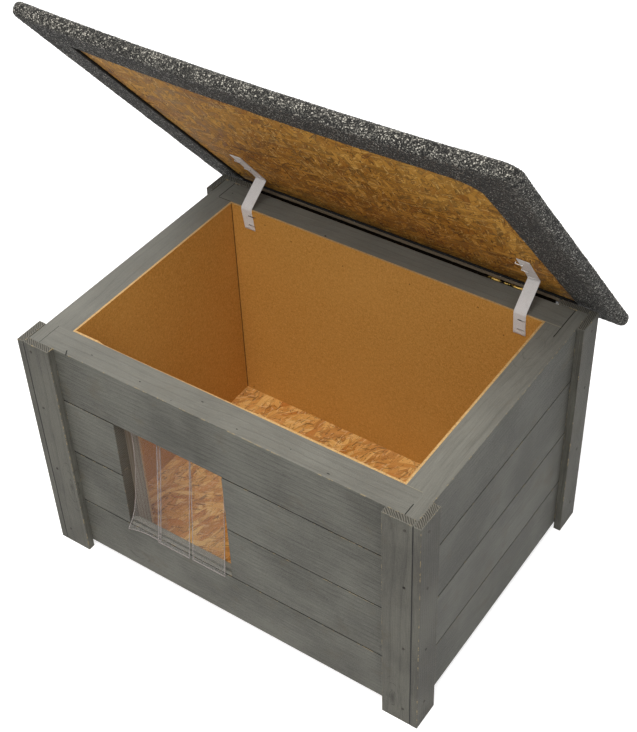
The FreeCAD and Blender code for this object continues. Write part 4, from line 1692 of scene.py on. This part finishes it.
        mesh = bpy.data.meshes.new_from_object(source.evaluated_get(shot), depsgraph=shot)
        bpy.data.objects.remove(source)
        piece = bpy.data.objects.new(name, mesh)
        bpy.context.scene.collection.objects.link(piece)
        keep(piece, "lid", "roofing_felt")

    def build(self) -> None:
        """Make the lid's board and felt."""
        self.build_board()
        felt = self.build_felt()
        self.scatter(felt, "granules_rim", 100000.0, 5, 0.30, 0.71)
        self.scatter(felt, "granules_top", 55000.0, 9, 0.71, 1.01)


# ---------------------------------------------------------------------------- carried-over nodes


def dress(material: bpy.types.Material, *nodes: str) -> None:
    """Give CAD nodes a material.

    Args:
        material: The material.
        *nodes: Names of the nodes.
    """
    for name in nodes:
        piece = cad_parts[name]
        if not piece.material_slots:
            piece.data.materials.append(material)
        for slot in piece.material_slots:
            slot.material = material
        LOG.info("%s: dressed", name)


# ---------------------------------------------------------------------------- studio


@dataclass
class Studio:
    """Camera, lamps, floor and sky."""

    azimuth: float = 35.9
    height: float = 41.84
    roll: float = -2.46
    distance: float = 1.87706
    target: Vec3 = (0.01805, 0.0, 0.32649)
    focal: float = 1397.28
    centre: Vec2 = (321.03, 366.47)
    picture: tuple[int, int] = (637, 732)
    sensor: float = 36.0
    floor_size: float = 6.0

    def camera(self) -> None:
        """Set up the camera at the photograph's angle."""
        a, e, r = (math.radians(v) for v in (self.azimuth, self.height, self.roll))
        back = Vector((math.sin(a) * math.cos(e), -math.cos(a) * math.cos(e), math.sin(e)))
        level = (-back).cross(Vector((0, 0, 1))).normalized()
        upright = level.cross(-back)
        right = level * math.cos(r) + upright * math.sin(r)
        up = -level * math.sin(r) + upright * math.cos(r)
        wide, high = self.picture
        data = bpy.data.cameras.new("camera")
        data.sensor_fit = "VERTICAL"
        data.sensor_height = self.sensor
        data.lens = self.focal * self.sensor / high
        data.shift_x = (wide / 2 - self.centre[0]) / max(self.picture)
        data.shift_y = (self.centre[1] - high / 2) / max(self.picture)
        data.clip_start, data.clip_end = 0.05, 50.0
        made = bpy.data.objects.new("camera", data)
        bpy.context.scene.collection.objects.link(made)
        turn = Matrix((right, up, back)).transposed().to_4x4()
        made.matrix_world = Matrix.Translation(Vector(self.target) + back * self.distance) @ turn
        bpy.context.scene.camera = made

    @staticmethod
    def lamp(name: str, power: float, size: float, place: Vec3, aim: float, tone: Vec3) -> None:
        """Add a soft square lamp.

        Args:
            name: Its name.
            power: Its power in watts.
            size: Its side in metres.
            place: Where it is.
            aim: Height above the house's middle at which it points.
            tone: Its colour.
        """
        data = bpy.data.lights.new(name, "AREA")
        data.energy, data.size, data.color = power, size, tone
        made = bpy.data.objects.new(name, data)
        bpy.context.scene.collection.objects.link(made)
        made.location = place
        made.rotation_euler = (Vector(place) - Vector((0.0, 0.0, aim))).to_track_quat("Z", "Y").to_euler()

    def floor(self) -> None:
        """Add the plain pale floor."""
        mesh = bpy.data.meshes.new("studio_floor")
        corners = [(x * self.floor_size, y * self.floor_size, 0) for x, y in ((-1, -1), (1, -1), (1, 1), (-1, 1))]
        mesh.from_pydata(corners, [], [(0, 1, 2, 3)])
        made = bpy.data.objects.new("studio_floor", mesh)
        bpy.context.scene.collection.objects.link(made)
        t = Tree.material("studio_floor")
        tone = t.mix(t.noise(t.place(), 2.0, 2.0), (0.60, 0.60, 0.60, 1), (0.62, 0.62, 0.62, 1))
        glow = t.mix(t.seen(), (0, 0, 0, 1), (0.72, 0.72, 0.72, 1))
        mesh.materials.append(t.finish(tone, 0.9, Emission_Color=glow, Emission_Strength=1.0))
        made.location.z = -0.0005

    def sky(self) -> None:
        """A white sky for the camera and a softer one for the light."""
        world = bpy.data.worlds.new("studio")
        bpy.context.scene.world = world
        world.use_nodes = True
        t = Tree(world.node_tree)
        back = world.node_tree.nodes["Background"]
        t.put(back.inputs["Strength"], t.seen() * 0.78 + 0.22)
        back.inputs["Color"].default_value = (1, 1, 1, 1)

    def build(self) -> None:
        """Make the whole studio."""
        self.camera()
        self.lamp("key", 80.0, 1.7, (0.25, -1.15, 2.55), 0.25, (1.0, 0.97, 0.92))
        self.lamp("fill", 9.0, 1.6, (1.9, -0.9, 1.2), 0.3, (0.96, 0.97, 1.0))
        self.lamp("back", 34.0, 2.0, (-1.1, 2.4, 2.0), 0.3, (0.98, 0.98, 1.0))
        self.lamp("left", 9.0, 1.8, (-2.3, -0.4, 1.3), 0.3, (0.98, 0.98, 1.0))
        self.floor()
        self.sky()
        bpy.context.scene.view_settings.view_transform = "Standard"


# ---------------------------------------------------------------------------- main


def rim_marks() -> tuple[Scratch, ...]:
    """Open joints, cracks and pin holes of the rim.

    Returns:
        The marks, from their ends on the rim's top.
    """
    spots = ((282, 152, 282, 217, 0.9, 0.6), (-282, 176, -282, 214, 0.9, 0.6), (-300, 181, -300, 213, 0.8, 0.4),
             (259, 174, 281, 174, 0.9, 0.4, True), (-239, -208, -234, -216, 1.2, 1.0), (-93, 177, -92, 177, 1.6),
             (-275.8, 213.9, -275.8, 213.9, 1.6), (-269.9, 192.2, -269.9, 192.2, 1.3),
             (285.4, 216.4, 285.4, 216.4, 1.3), (282, -196, 282, -214, 0.9, 0.6), (-282, -176, -282, -214, 0.5, 0.4),
             (-259, 174, -281, 174, 0.7, 0.4), (259, -174, 281, -174, 0.6, 0.4, True),
             (-120, -203, -119, -203, 1.1), (-64, -209, -64, -209, 0.9), (-30, -190, -28, -190, 1.0),
             (36, -206, 37, -206, 1.0), (112, -199, 112, -199, 0.9), (171, -208, 174, -208, 0.9),
             (-206, -197, -205, -197, 1.0), (299, 198.7, 300, 199.5, 1.4, 0, True))
    height = HOUSE.rim / MM
    return tuple(Scratch((x0, y0, height), (x1, y1, height), *more) for x0, y0, x1, y1, *more in spots)


def lining_marks() -> tuple[Scratch, ...]:
    """Dark corners of the room and nail heads in the back lining.

    Returns:
        The marks.
    """
    corners = [Scratch((x, y, 22), (x, y, 389), 1.3, 0.8) for x in (-256, 256) for y in (-171, 171)]
    nails = ((-243, 27), (-196, 372), (-60, 352), (52, 366), (118, 330), (160, 372), (201, 341), (-150, 360))
    return (*corners, *(Scratch((x, 171, z), (x, 171, z), 1.5) for x, z in nails))


def felt_marks() -> tuple[Scratch, ...]:
    """The mitred folds under the lid's four corners, and the fold at the front right one drawn as marks: a painted
    highlight on its lip and painted shade in the slit above it.

    Returns:
        The marks.
    """
    folds = []
    for x, v, flap in ((-LID.half_wide, LID.front, LID.flap), (LID.half_wide, LID.front, LID.flap),
                       (-LID.half_wide, -LID.rear, LID.rear_flap), (LID.half_wide, -LID.rear, LID.rear_flap)):
        side, way = (1 if x < 0 else -1), (-1 if v > 0 else 1)
        start = LID.at(x + side * LID.flap, v + way * flap, LID.flap_low)
        end = LID.at(x + side * 0.004, v + way * 0.004, LID.flap_low + 0.003)
        folds.append(Scratch(tuple(start / MM), tuple(end / MM), 1.2, 2.0))
    # The front right fold: its lip is a painted highlight, and the two dark strokes above it are painted shade in the
    # fold.
    return (*folds, Scratch((330.4, -93.5, 782.5), (337.4, -87.0, 784.0), 2.2, 1.0, True),
            Scratch((329.7, -97.3, 786.7), (336.6, -95.0, 792.0), 3.0, 1.0),
            Scratch((336.6, -95.0, 792.0), (337.6, -86.0, 792.2), 3.0, 1.0))


def build_house() -> None:
    """Build the walls, corner boards, rim, lining and floor."""
    stain = StainedTimber("stained_boards", marks=rim_marks()).build()
    posts = StainedTimber("stained_corner_boards", base=(76, 75, 70), ends=0.75).build()
    Walls(HOUSE, stain).build()
    CornerBoards(HOUSE, posts).build()
    Rim(HOUSE, stain).build()
    face = Hardboard("hardboard_face", marks=lining_marks()).build()
    Lining(HOUSE, face, Hardboard("hardboard_edge", cut=True).build()).build()
    tones = ((142, 86, 36), (188, 128, 61), (208, 154, 81), (223, 178, 106), (240, 208, 147))
    coarse = StrandBoard("floor_strand_board", 30.0, 120.0, tones, warm=(192, 122, 58), gaps=0.34, flecks=0.42,
                         bend=0.024, specks=0.62)
    Floor(HOUSE, coarse.build()).build()


def build_moving() -> None:
    """Build the lid, the strips of the doorway and the straps."""
    tones = ((46, 26, 7), (124, 84, 27), (168, 118, 44), (190, 139, 58), (222, 176, 92))
    fine = StrandBoard("lid_strand_board", 24.0, 130.0, tones, warm=(132, 76, 20), gaps=0.44, flecks=0.62,
                       bend=0.010, specks=0.92, relief=0.0006, pale=(226, 190, 116))
    felt = RoofingFelt("granule_felt", felt_marks()).build()
    Lid(LID, fine.build(), felt, GritGrain("loose_granules").build()).build()
    vinyl = ClearVinyl("clear_strip_plastic").build()
    for strip in (CurtainStrip("left", -0.160, 0.053, 0.0015, 0.1073, 0.003, 0.009, 0.008, vinyl),
                  CurtainStrip("middle", -0.1125, 0.056, 0.0, 0.1073, 0.0045, 0.0, 0.006, vinyl),
                  CurtainStrip("right", -0.0561, 0.056, 0.0, 0.100, 0.0055, 0.0, 0.002, vinyl)):
        strip.build()
    tape = Webbing("webbing_tape").build()
    Strap("left", -0.2235, -0.2285, -0.218, -0.211, tape).build()
    Strap("right", 0.2245, 0.2225, 0.2265, 0.238, tape).build()


def dress_nodes() -> None:
    """Give each carried-over CAD node its finish."""
    # The hinge's dull colour is near black, both tarnish and painted shade of the slot behind the rim; the band where
    # it glints is a painted highlight.
    brass = PlainMetal("hinge_brass_finish", (222, 188, 104), (16, 13, 9), glint_span=(0.146, 0.212))
    dress(brass.build(), "hinge_leaf_wall", "hinge_leaf_lid", "hinge_pin")
    dress(PlainMetal("dark_nails", (70, 66, 62), (30, 26, 24), rough=0.45).build(), "board_nails")
    dress(PlainMetal("zinc_wire", (190, 190, 190), (120, 120, 118)).build(),
          "strap_staples_house", "strap_staples_lid", "hinge_screws_wall", "hinge_screws_lid")
    dress(BareTimber("batten_timber").build(), "bottom_battens", "lintel_batten")
    dress(BareTimber("upright_timber", (128, 126, 118), Run.UP).build(), "upright_battens")
    dress(BareTimber("packer_plywood", (96, 84, 66)).build(), "hinge_packer_wall", "hinge_packer_lid")
    dress(FoamBead("bead_foam").build(), *(f"{wall}_insulation" for wall in ("front", "back", "left", "right")))


def main() -> None:
    """Build every piece of the dog house and the studio."""
    build_house()
    build_moving()
    dress_nodes()
    Studio().build()


if __name__ == "__main__":
    main()
